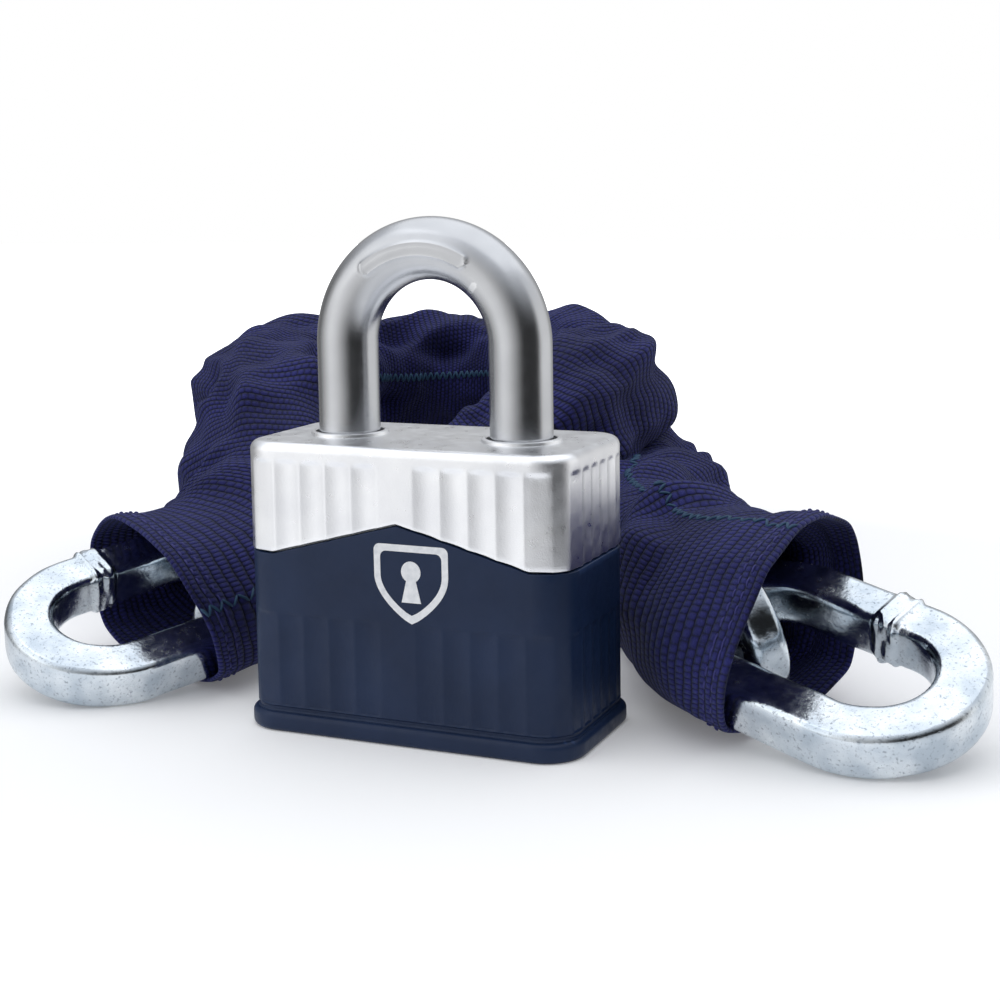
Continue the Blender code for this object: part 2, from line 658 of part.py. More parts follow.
def chain(path, material):
    matrices, spacing = chain_layout(path)
    end_mesh = link_mesh("end_link", END_BAR, END_LINK_OPENING, END_LINK_PITCH, 12, 2, True)
    inner_mesh = link_mesh("chain_link", INNER_BAR, INNER_LINK_OPENING, INNER_LINK_PITCH, 6, 1, False)
    last = len(matrices) - 1
    for index, matrix in enumerate(matrices):
        if index == 0:
            name, mesh = "end_link_right", end_mesh
        elif index == last:
            name, mesh = "end_link_left", end_mesh
        else:
            name, mesh = f"chain_link_{index:02d}", inner_mesh
        link = add_object(name, mesh, parts)
        link.matrix_world = matrix
        finish(link, material)
    return spacing


def sleeve_ring(path, distance, shrink):
    """One section of the sleeve: a rounded square that turns rounder and leans out at a mouth."""
    right_mouth = max(0.0, 1 - (distance - MOUTH_START) / MOUTH_LENGTH)
    left_mouth = max(0.0, 1 - (path.length - MOUTH_START - distance) / MOUTH_LENGTH)
    lean = MOUTH_LEAN * (left_mouth - right_mouth)
    power = SLEEVE_POWER + (MOUTH_POWER - SLEEVE_POWER) * max(right_mouth, left_mouth)
    x, y, z, half_width, half_height = path.at(distance)
    _, side, up = path.frame(distance)
    forward = side.cross(Vector((0, 0, 1)))
    centre = Vector((x, y, max(z, half_height * up.z + GAP)))
    points = []
    for step in range(SLEEVE_SIDES):
        angle = 2 * math.pi * (step + 0.5) / SLEEVE_SIDES
        across, rise = math.cos(angle), math.sin(angle)
        across = math.copysign(abs(across) ** (2 / power), across)
        rise = math.copysign(abs(rise) ** (2 / power), rise)
        points.append(centre + side * across * (half_width - shrink) + up * rise * (half_height - shrink)
                      + forward * lean * rise)
    return points


def sleeve_piece(name, path, start, end, material):
    """A length of sleeve as an open-ended tube with a thin wall."""
    count = max(3, round((end - start) / SLEEVE_STEP) + 1)
    mesh = bpy.data.meshes.new(name)
    sleeve_bm = bmesh.new()
    rings = []
    distances = list(np.linspace(start, end, count))
    for shrink, order in ((0.0, distances), (SLEEVE_WALL, distances[::-1])):
        for distance in order:
            rings.append([sleeve_bm.verts.new(point) for point in sleeve_ring(path, distance, shrink)])
    for index, first in enumerate(rings):
        second = rings[(index + 1) % len(rings)]
        for step in range(SLEEVE_SIDES):
            after = (step + 1) % SLEEVE_SIDES
            sleeve_bm.faces.new((first[step], first[after], second[after], second[step]))
    bmesh.ops.recalc_face_normals(sleeve_bm, faces=sleeve_bm.faces)
    sleeve_bm.to_mesh(mesh)
    sleeve_bm.free()
    return finish(add_object(name, mesh, parts), material, 50.0)


def sleeve(path, spacing, material):
    """Three lengths, split where the two tails bend away from the coil."""
    right_split = END_SPACING + (RIGHT_TAIL_LINKS - 0.5) * spacing
    left_split = path.length - END_SPACING - (LEFT_TAIL_LINKS - 0.5) * spacing
    half_gap = TAIL_SPLIT_GAP / 2
    sleeve_piece("sleeve_right_tail", path, MOUTH_START, right_split - half_gap, material)
    sleeve_piece("sleeve_coil", path, right_split + half_gap, left_split - half_gap, material)
    sleeve_piece("sleeve_left_tail", path, left_split + half_gap, path.length - MOUTH_START, material)


def stand_on_footprint():
    """Hang every object on one empty that carries the padlock's place in the footprint."""
    padlock_place = bpy.data.objects.new("padlock_place", None)
    for obj in [*parts.objects, *cutters.objects]:
        obj.parent = padlock_place
    parts.objects.link(padlock_place)
    padlock_place.location = -FOOTPRINT_CENTRE


def build():
    global parts, cutters
    clear_scene()
    parts = new_collection("chain_lock")
    cutters = new_collection("cutters")
    cast_silver = new_material("cast_silver", (0.60, 0.62, 0.65), 1.0, 0.35)
    boot_navy = new_material("boot_navy", (0.011, 0.024, 0.065), 0.0, 0.45)
    satin_steel = new_material("satin_steel", (0.52, 0.53, 0.55), 1.0, 0.38)
    hard_steel = new_material("hard_steel", (0.28, 0.29, 0.30), 1.0, 0.45)
    brass = new_material("brass", (0.62, 0.44, 0.16), 1.0, 0.35)
    spring_steel = new_material("spring_steel", (0.42, 0.43, 0.45), 1.0, 0.3)
    zinc = new_material("zinc_plate", (0.62, 0.68, 0.74), 1.0, 0.22)
    webbing = new_material("webbing_navy", (0.017, 0.02, 0.14), 0.0, 0.85)

    lock_core(hard_steel)
    upper_shell(cast_silver)
    lower_boot(boot_navy)
    shackle(satin_steel)
    cylinder_housing(brass)
    plug(brass)
    ball_cam(hard_steel)
    pin_stacks(brass, hard_steel, spring_steel)
    small_parts(hard_steel, spring_steel)
    path = ChainPath()
    spacing = chain(path, zinc)
    sleeve(path, spacing, webbing)
    stand_on_footprint()
    bpy.context.view_layer.update()


build()
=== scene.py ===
"""Looks of the chain lock: fine casings, shackle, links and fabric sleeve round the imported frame.

Metres, +Z up, in the frame's own coordinates. PLACE is the middle of the padlock's base.
"""
import json
import math

import bpy
import bmesh
import numpy as np
from mathutils import Matrix, Vector, noise
from mathutils.bvhtree import BVHTree


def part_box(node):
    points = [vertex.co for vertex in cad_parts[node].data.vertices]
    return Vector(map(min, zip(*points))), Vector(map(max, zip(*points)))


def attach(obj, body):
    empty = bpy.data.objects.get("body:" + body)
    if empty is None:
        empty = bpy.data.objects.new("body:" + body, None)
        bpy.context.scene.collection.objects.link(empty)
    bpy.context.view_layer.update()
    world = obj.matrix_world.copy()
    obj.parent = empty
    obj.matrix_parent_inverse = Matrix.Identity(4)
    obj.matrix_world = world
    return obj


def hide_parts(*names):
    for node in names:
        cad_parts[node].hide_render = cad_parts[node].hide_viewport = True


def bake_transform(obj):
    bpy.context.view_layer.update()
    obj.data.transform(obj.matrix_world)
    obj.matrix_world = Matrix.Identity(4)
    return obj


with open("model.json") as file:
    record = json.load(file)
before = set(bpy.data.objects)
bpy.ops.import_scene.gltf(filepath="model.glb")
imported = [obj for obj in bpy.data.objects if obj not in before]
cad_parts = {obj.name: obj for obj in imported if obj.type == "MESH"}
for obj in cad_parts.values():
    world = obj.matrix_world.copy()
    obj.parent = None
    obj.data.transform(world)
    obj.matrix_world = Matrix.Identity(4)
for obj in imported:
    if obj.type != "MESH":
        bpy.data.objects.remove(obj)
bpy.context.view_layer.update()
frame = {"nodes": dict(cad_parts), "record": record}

MM = 0.001

# Padlock case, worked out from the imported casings.
SHELL_LOW, SHELL_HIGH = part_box("upper_shell")
BODY_WIDTH = SHELL_HIGH.x - SHELL_LOW.x
BODY_DEPTH = SHELL_HIGH.y - SHELL_LOW.y
PLACE = Vector(((SHELL_LOW.x + SHELL_HIGH.x) / 2, (SHELL_LOW.y + SHELL_HIGH.y) / 2, 0.0))
BODY_CORNER = 7.0 * MM
RIM_HEIGHT = 0.7 * MM
BODY_TOP = SHELL_HIGH.z - RIM_HEIGHT
TOP_ROUNDING = 1.8 * MM
WALL = 2.1 * MM
CEILING = BODY_TOP - 2.6 * MM
FLOOR_TOP = 2.9 * MM
FLANGE_LIP = 0.9 * MM
CHEVRON_SHOULDER = SHELL_LOW.z
CHEVRON_PEAK = CHEVRON_SHOULDER + 7.0 * MM
CHEVRON_HALF_WIDTH = 26.5 * MM
PARTING_GAP = 0.35 * MM
UPPER_EDGE = 0.3 * MM
LOWER_EDGE = 0.25 * MM
BOOT_INSET = 0.15 * MM
GROOVE_DEPTH = 0.3 * MM
FLANGE_MIDDLE = 2.6 * MM
FLANGE_ROUND = 1.1 * MM
KEY_HOLE_RADIUS = 9.1 * MM
EMBLEM_PLACE = (3.0 * MM, 31.6 * MM)
OUTLINE_STEP = 0.3 * MM
CUT_PAST = 2 * MM

# Flutes pressed into the two casings.
FLUTE_DEPTH = 0.40 * MM
FLUTE_PITCH = 5.5 * MM
FLUTE_START = 3.65 * MM
FLUTES_PER_HALF = 5
SIDE_FLUTE_PITCH = 4.4 * MM
SIDE_FLUTES_PER_HALF = 3
BORDER = 2.3 * MM
LOWER_FLUTE_LOW = 5.2 * MM
LOWER_FLUTE_HIGH = 22.4 * MM
UPPER_RUN_OUT = 1.3 * MM
LOWER_RUN_OUT = 1.2 * MM

# Shackle.
SHACKLE_LOW, SHACKLE_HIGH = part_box("shackle")
BAR_RADIUS = (SHACKLE_HIGH.y - SHACKLE_LOW.y) / 2
LEG_X = (SHACKLE_HIGH.x - SHACKLE_LOW.x) / 2 - BAR_RADIUS
ARCH_CENTRE_Z = SHACKLE_HIGH.z - LEG_X - BAR_RADIUS
TOE_END_Z = 37.0 * MM
BALL_Z = 44.0 * MM
NOTCH_X = 10.3 * MM
NOTCH_RADIUS = 4.9 * MM
HEEL_FLAT_DEPTH = 1.6 * MM
HEEL_FLAT_LOW = 11.2 * MM
HEEL_FLAT_HIGH = 35.0 * MM
SPRING_BORE_RADIUS = 3.4 * MM
SPRING_BORE_TOP = 20.5 * MM
RIM_INNER = 6.7 * MM
RIM_OUTER = 7.8 * MM
PAD_ANGLE = math.radians(94)
PAD_HALF_LENGTH = 12.0 * MM
PAD_HALF_WIDTH = 1.7 * MM
PAD_RAISE = 0.28 * MM
PAD_BEVEL = 0.35 * MM

# Links: bar, opening width and inside length, as in the frame.
END_LINK = (10.0 * MM, 22.4 * MM, 45.0 * MM)
INNER_LINK = (7.5 * MM, 16.6 * MM, 37.6 * MM)
# Yaw, pitch and roll of the end links, in degrees.
END_LINK_TURNS = {"end_link_right": (-21.0, 10.2, 20.2), "end_link_left": (241.6, 8.8, -22.2)}
LINK_EDGE = 2.1 * MM

# Sleeve: distance from each end link's middle, half width and half height (mm), and the coil's own.
RIGHT_MOUTH = ((0, 27.0, 19.6), (14, 25.0, 20.0), (27, 20.6, 18.6), (42, 19.8, 18.2), (66, 18.8, 16.8))
LEFT_MOUTH = ((0, 28.3, 16.6), (12, 26.5, 16.8), (24, 22.0, 16.2), (40, 20.8, 17.6), (62, 18.8, 16.6))
# How far the rim of each mouth is slid along the chain (mm, towards the coil): everywhere, on the
# side of the padlock's front, and on the upper near corner; then how far the mouth is raised.
RIGHT_RIM = (1.8, -10.2, -4.4, 1.4)
LEFT_RIM = (-6.0, -9.1, -3.6, 0.8)
RIM_REACH = 30.0 * MM
COIL_HALF = (18.8, 16.2)
SLEEVE_POWER = 2.5
SLEEVE_WALL = 1.1 * MM
MOUTH_INSET = 3.0 * MM
HEM_LENGTH = 6.5 * MM
RING_STEP = 2.2 * MM
RING_SIDES = 64
LINK_CLEARANCE = 0.5 * MM
FLOOR_GAP = 0.35 * MM
SAMPLES_PER_LINK = 24

# Where the two lengths meet (share of the chain), where each tail's bend would sit (distance from its end
# link), half the length of that bend, and the millimetres of weave round the sleeve. The bend's ends are
# worked out, but nothing is bent.
SLEEVE_JOIN = 0.47
RIGHT_SPLIT = 78.9 * MM
LEFT_SPLIT = 47.9 * MM
BEND_HALF = 16 * MM
CLOTH_ROUND = 112.5

# Stitches: lengths along the sleeve, and turns round it in radians.
SEAM_TURNS = {"right_tail": math.radians(76), "left_tail": math.radians(4)}
SEAM_PITCH = 1.5 * MM
SEAM_STITCH = 1.3 * MM
SEAM_SLANT = 0.045
HEM_ROWS = (HEM_LENGTH - 1.2 * MM, HEM_LENGTH - 3.4 * MM)
HEM_STITCH_PITCH = 0.135
HEM_STITCH = 0.088

# Cloth simulation: size it is run at, slack in the cloth, and the furthest that a point may move.
CLOTH_SCALE = 10.0
CLOTH_SLACK = 1.35
CLOTH_CAP = 4.5 * MM
CLOTH_FRAMES = 24

# Camera: heading, place from the middle of the padlock's base (mm), and tilt. Then the lights' target,
# and the brightness of the studio by direction (degrees to the right of the camera).
VIEW_HEADING = math.radians(23.77)
CAMERA_OFFSET = (140.55, -287.28, 101.56)
CAMERA_PITCH = math.radians(6.13)
CAMERA_ROLL = math.radians(-0.90)
LIGHT_TARGET = (0, 0.02, 0.04)
SKY_LEVELS = ((-180, 0.42), (-125, 0.16), (-100, 0.60), (-68, 1.15), (-44, 0.95), (-14, 0.40), (8, 0.02),
              (66, 0.02), (80, 1.00), (125, 0.95), (145, 0.40), (180, 0.42))


# ---------------------------------------------------------------- mesh helpers

def placed(name, data):
    """New object for some data, in the scene."""
    obj = bpy.data.objects.new(name, data)
    bpy.context.scene.collection.objects.link(obj)
    return obj


def mesh_object(name, vertices, faces, uvs=None):
    mesh = bpy.data.meshes.new(name)
    mesh.from_pydata([tuple(v) for v in vertices], [], [tuple(f) for f in faces])
    if uvs is not None:
        layer = mesh.uv_layers.new(name="cloth_mm")
        loops = [uv for face in uvs for uv in face]
        layer.data.foreach_set("uv", np.array(loops, np.float32).ravel())
    mesh.update()
    return placed(name, mesh)


def ring_faces(rings, sides, closed=False):
    """Quads between rings of points that wrap round; closed also joins the last ring to the first."""
    faces = []
    for ring in range(rings if closed else rings - 1):
        first, second = ring * sides, ((ring + 1) % rings) * sides
        for side in range(sides):
            after = (side + 1) % sides
            faces.append((first + side, first + after, second + after, second + side))
    return faces


def end_caps(rings, sides):
    """One flat face over each end of a stack of rings."""
    last = (rings - 1) * sides
    return [tuple(range(sides)), tuple(range(last + sides - 1, last - 1, -1))]


def bake(obj):
    """Swap an object's mesh for the one its modifiers make."""
    bpy.context.view_layer.update()
    evaluated = obj.evaluated_get(bpy.context.evaluated_depsgraph_get())
    mesh = bpy.data.meshes.new_from_object(evaluated, preserve_all_data_layers=True,
                                           depsgraph=bpy.context.evaluated_depsgraph_get())
    obj.modifiers.clear()
    obj.data = mesh
    return obj


def tidy_normals(obj):
    """Make the faces look outwards."""
    mesh_bm = bmesh.new()
    mesh_bm.from_mesh(obj.data)
    bmesh.ops.recalc_face_normals(mesh_bm, faces=mesh_bm.faces)
    mesh_bm.to_mesh(obj.data)
    mesh_bm.free()
    return obj


def smooth(obj, sharp_angle=40.0):
    obj.data.shade_smooth()
    obj.data.set_sharp_from_angle(angle=math.radians(sharp_angle))
    return obj


def cut(target, tool):
    """Take a throwaway tool's shape out of the target."""
    modifier = target.modifiers.new("cut", "BOOLEAN")
    modifier.operation = "DIFFERENCE"
    modifier.object = tool
    modifier.solver = "EXACT"
    bake(target)
    bpy.data.objects.remove(tool, do_unlink=True)


def primitive(name, make, place, **sizes):
    """Object from one of bmesh's ready-made shapes."""
    mesh = bpy.data.meshes.new(name)
    shape = bmesh.new()
    make(shape, **sizes)
    shape.to_mesh(mesh)
    shape.free()
    obj = placed(name, mesh)
    obj.location = place
    return obj


def rod(name, radius, foot, length, sides=64):
    """Upright cylinder that stands on a point."""
    return primitive(name, bmesh.ops.create_cone, Vector(foot) + Vector((0, 0, length / 2)), cap_ends=True,
                     segments=sides, radius1=radius, radius2=radius, depth=length)


def ramp(value, low, high):
    """0 below low, 1 above high, and smooth between them."""
    share = np.clip((value - low) / (high - low), 0, 1)
    return share * share * (3 - 2 * share)


def quarter_round(steps, start=0):
    """Sine and cosine over a quarter turn, in even steps."""
    angles = [math.pi / 2 * step / steps for step in range(start, steps + 1)]
    return [(math.sin(angle), math.cos(angle)) for angle in angles]


# ---------------------------------------------------------------- materials

def add_node(tree, kind, inputs=None, **settings):
    """Node with its settings, and its inputs linked from sockets or set to values."""
    made = tree.nodes.new(kind)
    for key, value in settings.items():
        setattr(made, key, value)
    for key, value in (inputs or {}).items():
        feed(made.inputs[key], value)
    return made


def feed(socket, value):
    if isinstance(value, bpy.types.NodeSocket):
        socket.id_data.links.new(value, socket)
    else:
        socket.default_value = value


def brighter(colour, gain, lift=0.0):
    return tuple(min(1.0, part * gain + lift) for part in colour)


class Shader:
    """A few short calls for building one node material."""

    def __init__(self, name):
        self.material = bpy.data.materials.new(name)
        self.material.use_nodes = True
        self.tree = self.material.node_tree
        self.surface = self.tree.nodes["Principled BSDF"]
        self.coordinates = self.tree.nodes.new("ShaderNodeTexCoord")

    def node(self, kind, inputs=None, **settings):
        return add_node(self.tree, kind, inputs, **settings)

    def compute(self, operation, a, b=0.0):
        return self.node("ShaderNodeMath", {0: a, 1: b}, operation=operation).outputs[0]

    def cloud(self, scale, detail=3.0, roughness=0.5, vector=None):
        source = vector or self.coordinates.outputs["Object"]
        made = self.node("ShaderNodeTexNoise", {"Vector": source, "Scale": scale, "Detail": detail,
                                                "Roughness": roughness})
        return made.outputs["Fac"]

    def spread(self, value, low, high, out_low=0.0, out_high=1.0):
        made = self.node("ShaderNodeMapRange", {"Value": value, "From Min": low, "From Max": high,
                                                "To Min": out_low, "To Max": out_high})
        return made.outputs["Result"]

    def blend(self, share, first, second):
        made = self.node("ShaderNodeMix", data_type="RGBA")
        feed(made.inputs["Factor"], share)
        for key, colour in (("A", first), ("B", second)):
            feed(made.inputs[key], (*colour, 1.0) if isinstance(colour, tuple) else colour)
        return made.outputs["Result"]

    def worn_edges(self, low=0.52, high=0.6):
        point = self.node("ShaderNodeNewGeometry").outputs["Pointiness"]
        return self.spread(point, low, high)

    def bump(self, height, distance, strength=1.0, under=None):
        made = self.node("ShaderNodeBump", {"Height": height, "Distance": distance, "Strength": strength})
        if under is not None:
            feed(made.inputs["Normal"], under)
        return made.outputs["Normal"]

    def finish(self, **inputs):
        for key, value in inputs.items():
            feed(self.surface.inputs[key.replace("_", " ")], value)
        return self.material


def blasted_metal(name, dark, light, roughness, grain, depth, unevenness=0.06):
    """Bead-blasted or satin metal: a fine pebbled surface with slow changes in tone."""
    shader = Shader(name)
    slow = shader.cloud(90.0, 2.0)
    fine = shader.cloud(grain, 2.0, 0.6)
    tone = shader.blend(shader.spread(slow, 0.3, 0.7), dark, light)
    colour = shader.blend(shader.compute("MULTIPLY", shader.worn_edges(), 0.5), tone, (0.95, 0.96, 0.97))
    rough = shader.spread(shader.cloud(400.0, 2.0), 0.3, 0.7, roughness - unevenness,
                          roughness + unevenness)
    normal = shader.bump(fine, depth)
    return shader.finish(Base_Color=colour, Metallic=1.0, Roughness=rough, Normal=normal)


def moulded_plastic(name, colour, roughness):
    shader = Shader(name)
    slow = shader.cloud(60.0, 3.0)
    tone = shader.blend(shader.spread(slow, 0.3, 0.7), colour, brighter(colour, 1.35, 0.002))
    edges = shader.compute("MULTIPLY", shader.worn_edges(0.53, 0.62), 0.35)
    worn = shader.blend(edges, tone, brighter(colour, 4, 0.01))
    rough = shader.spread(shader.cloud(500.0, 2.0), 0.3, 0.7, roughness - 0.05, roughness + 0.08)
    normal = shader.bump(shader.cloud(2600.0, 2.0, 0.6), 0.00002)
    return shader.finish(Base_Color=worn, Metallic=0.0, Roughness=rough, Normal=normal,
                         Specular_IOR_Level=0.25)


def zinc_plate(name):
    """Bright zinc over drawn bar: bluish, with streaks, pits and dull spots."""
    shader = Shader(name)
    patches = shader.cloud(110.0, 4.0, 0.55)
    streaks = shader.cloud(700.0, 3.0, 0.6)
    pits = shader.cloud(1500.0, 2.0, 0.6)
    tone = shader.blend(shader.spread(patches, 0.35, 0.65), (0.50, 0.57, 0.64), (0.84, 0.89, 0.93))
    dull = shader.spread(pits, 0.57, 0.72, 0.0, 0.6)
    colour = shader.blend(dull, tone, (0.13, 0.16, 0.21))
    mottle = shader.compute("MULTIPLY", patches, streaks)
    rough = shader.spread(mottle, 0.1, 0.45, 0.10, 0.33)
    uneven = shader.bump(patches, 0.00025, 0.8)
    fine = shader.compute("SUBTRACT", streaks, shader.compute("MULTIPLY", dull, 0.5))
    normal = shader.bump(fine, 0.00003, 1.0, uneven)
    return shader.finish(Base_Color=colour, Metallic=1.0, Roughness=rough, Normal=normal)


def brushed_metal(name, colour, roughness, metallic=1.0):
    """Turned or drawn metal for the small inner parts."""
    shader = Shader(name)
    lines = shader.node("ShaderNodeMapping", {"Vector": shader.coordinates.outputs["Object"],
                                              "Scale": (300.0, 300.0, 4000.0)}).outputs["Vector"]
    brushing = shader.cloud(1.0, 3.0, 0.6, lines)
    tone = shader.blend(brushing, colour, brighter(colour, 1.3))
    rough = shader.spread(brushing, 0.2, 0.8, roughness - 0.06, roughness + 0.08)
    return shader.finish(Base_Color=tone, Metallic=metallic, Roughness=rough,
                         Normal=shader.bump(brushing, 0.00002))


def woven_cloth(name, dark, light, gap_shade, pitch_round=1.1, pitch_along=1.8):
    """Coarse plain weave laid out in millimetres on the cloth_mm map, with painted shade in the gaps
    between threads.
    """
    shader = Shader(name)
    cloth = shader.node("ShaderNodeUVMap", uv_map="cloth_mm").outputs["UV"]
    drift = shader.compute("MULTIPLY", shader.cloud(0.12, 2.0, 0.5, cloth), 0.9)
    split = shader.node("ShaderNodeSeparateXYZ", {"Vector": cloth})
    along = shader.compute("ADD", shader.compute("DIVIDE", split.outputs["Y"], pitch_along), drift)
    offset = shader.compute("MULTIPLY", shader.compute("FLOOR", along), 0.5)
    across = shader.compute("ADD", shader.compute("DIVIDE", split.outputs["X"], pitch_round), offset)
    crown = []
    for value in (along, across):
        wave = shader.compute("SINE", shader.compute("MULTIPLY", shader.compute("FRACT", value), math.pi))
        crown.append(shader.compute("POWER", wave, 0.6))
    bead = shader.compute("ADD", 0.35, shader.compute("MULTIPLY", crown[1], 0.65))
    weave = shader.compute("MULTIPLY", crown[0], bead)
    fibre_map = shader.node("ShaderNodeMapping", {"Vector": cloth, "Scale": (1.2, 5.0, 1.0)})
    fibres = shader.cloud(1.6, 3.0, 0.7, fibre_map.outputs["Vector"])
    faded = shader.cloud(0.05, 3.0, 0.6, cloth)
    tone = shader.blend(shader.spread(faded, 0.35, 0.7), dark, light)
    # Painted shade: the colour goes almost black in the gaps between the threads, where shade falls.
    threads_and_gap_shade = shader.blend(shader.spread(weave, 0.25, 0.85, 1.0, 0.0), tone, gap_shade)
    flecks = shader.compute("MULTIPLY", shader.spread(fibres, 0.5, 0.75, 0.0, 0.45), weave)
    flecked = shader.blend(flecks, threads_and_gap_shade, brighter(light, 2.4, 0.02))
    height = shader.compute("ADD", weave, shader.compute("MULTIPLY", fibres, 0.25))
    normal = shader.bump(height, 0.0005)
    return shader.finish(Base_Color=flecked, Metallic=0.0, Roughness=0.82, Normal=normal,
                         Sheen_Weight=0.12, Sheen_Roughness=0.45, Sheen_Tint=(0.45, 0.55, 1.0, 1.0),
                         Specular_IOR_Level=0.2)


def thread_material(name, colour):
    shader = Shader(name)
    twist = shader.cloud(2500.0, 2.0, 0.6)
    tone = shader.blend(twist, colour, brighter(colour, 1.8, 0.01))
    return shader.finish(Base_Color=tone, Roughness=0.7, Normal=shader.bump(twist, 0.00008))


def printed_ink(name):
    shader = Shader(name)
    specks = shader.cloud(900.0, 3.0)
    tone = shader.blend(shader.spread(specks, 0.3, 0.7), (0.70, 0.72, 0.75), (0.86, 0.87, 0.89))
    return shader.finish(Base_Color=tone, Roughness=0.5, Normal=shader.bump(specks, 0.00001))


MATERIALS = {
    "cast_silver": blasted_metal("cast_silver", (0.80, 0.81, 0.84), (0.90, 0.91, 0.93), 0.33, 3600.0,
                                 0.00004),
    "boot_navy": moulded_plastic("boot_navy", (0.0065, 0.0165, 0.048), 0.42),
    "satin_steel": blasted_metal("satin_steel", (0.50, 0.51, 0.53), (0.57, 0.58, 0.60), 0.25, 5200.0,
                                 0.000012, 0.015),
    "hard_steel": brushed_metal("hard_steel", (0.28, 0.29, 0.30), 0.42),
    "brass": brushed_metal("brass", (0.62, 0.44, 0.16), 0.32),
    "spring_steel": brushed_metal("spring_steel", (0.42, 0.43, 0.45), 0.30),
    "zinc_plate": zinc_plate("zinc_plate"),
    # The webbing's last colour is painted shade for the gaps between its threads.
    "webbing_navy": woven_cloth("webbing_navy", (0.0080, 0.0085, 0.062), (0.022, 0.024, 0.150),
                                (0.0010, 0.0012, 0.009)),
}
INK = printed_ink("pale_ink")
SEAM_THREAD = thread_material("seam_thread", (0.006, 0.036, 0.080))
HEM_THREAD = thread_material("hem_thread", (0.012, 0.013, 0.10))


def dress(obj, slot_name, body=None, material=None):
    """Material, slot and body for a finished piece."""
    obj.data.materials.clear()
    obj.data.materials.append(material or MATERIALS[slot_name])
    if body:
        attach(obj, body)
    return obj


def dress_cad_nodes():
    slots = {entry["node"]: entry["material_slot"] for entry in frame["record"]["subparts"]}
    for node, obj in frame["nodes"].items():
        material = MATERIALS[slots[node]]
        if obj.material_slots:
            for slot in obj.material_slots:
                slot.link = "OBJECT"
                slot.material = material
        else:
            obj.data.materials.append(material)


# ---------------------------------------------------------------- padlock casings

def case_outline():
    """Points and outward normals round the case."""
    flat_x = BODY_WIDTH / 2 - BODY_CORNER
    flat_y = BODY_DEPTH / 2 - BODY_CORNER
    quarter = BODY_CORNER * math.pi / 2
    lengths = [2 * flat_x, quarter, 2 * flat_y, quarter] * 2
    total = sum(lengths)
    count = 4 * round(total / OUTLINE_STEP / 4)
    centres = [(flat_x, -flat_y), (flat_x, flat_y), (-flat_x, flat_y), (-flat_x, -flat_y)]
    points, normals = [], []
    for index in range(count):
        travelled = total * index / count
        part = 0
        while travelled >= lengths[part]:
            travelled -= lengths[part]
            part += 1
        side, on_corner = divmod(part, 2)
        start_angle = math.pi * (side - 1) / 2
        if on_corner:
            angle = start_angle + travelled / BODY_CORNER
            centre = centres[side]
            normal = (math.cos(angle), math.sin(angle))
            point = (centre[0] + BODY_CORNER * normal[0], centre[1] + BODY_CORNER * normal[1])
        else:
            normal = (math.cos(start_angle), math.sin(start_angle))
            along = (-normal[1], normal[0])
            half = lengths[part] / 2
            reach = (BODY_DEPTH if side % 2 == 0 else BODY_WIDTH) / 2
            point = (normal[0] * reach + along[0] * (travelled - half),
                     normal[1] * reach + along[1] * (travelled - half))
        points.append(point)
        normals.append(normal)
    return np.array(points), np.array(normals)


OUTLINE, OUTWARD = case_outline()


def flute_pattern():
    """How deep the flutes are round the outline, as a negative offset."""
    x, y = np.abs(OUTLINE[:, 0]), np.abs(OUTLINE[:, 1])
    flat_x = BODY_WIDTH / 2 - BODY_CORNER
    flat_y = BODY_DEPTH / 2 - BODY_CORNER
    turned = np.arctan2(np.abs(OUTWARD[:, 0]), np.abs(OUTWARD[:, 1]))
    from_front = np.where(x <= flat_x, x, flat_x + BODY_CORNER * turned)
    from_side = np.where(y <= flat_y, y, flat_y + BODY_CORNER * (math.pi / 2 - turned))
    front = (from_front - FLUTE_START) / FLUTE_PITCH
    side = from_side / SIDE_FLUTE_PITCH
    on_front = (front > 0) & (front < FLUTES_PER_HALF) & (np.abs(OUTWARD[:, 1]) > 0.3)
    on_side = (side < SIDE_FLUTES_PER_HALF) & (np.abs(OUTWARD[:, 0]) > 0.3)
    depth = np.where(on_front, np.sin(math.pi * (front % 1)), 0.0)
    return -FLUTE_DEPTH * np.where(on_side, 0.8 * np.sin(math.pi * (side % 1)), depth)


FLUTES = flute_pattern()


def parting_height():
    """Height of the chevron parting line at each point of the outline."""
    share = np.clip(np.abs(OUTLINE[:, 0]) / CHEVRON_HALF_WIDTH, 0, 1)
    return CHEVRON_PEAK + (CHEVRON_SHOULDER - CHEVRON_PEAK) * share


def case_ring(offset, height):
    """The outline moved outwards by an offset, at a height; either may differ from point to point."""
    flat = OUTLINE + OUTWARD * (np.zeros(len(OUTLINE)) + offset)[:, None]
    heights = np.zeros(len(OUTLINE)) + height
    return np.column_stack([flat, heights]) + np.array(PLACE)


def shell_from_rings(name, rings):
    """Closed shell: the first and last rings are flat and get a face each."""
    sides = len(OUTLINE)
    faces = ring_faces(len(rings), sides) + end_caps(len(rings), sides)
    return tidy_normals(mesh_object(name, np.concatenate(rings), faces))


def parting_edge(offset, height, edge, way):
    """Rings that round the edge at the parting line; way is 1 for upwards and -1 for downwards."""
    return [case_ring(offset - edge * (1 - sine), height + way * edge * (1 - cosine))
            for sine, cosine in quarter_round(3)]


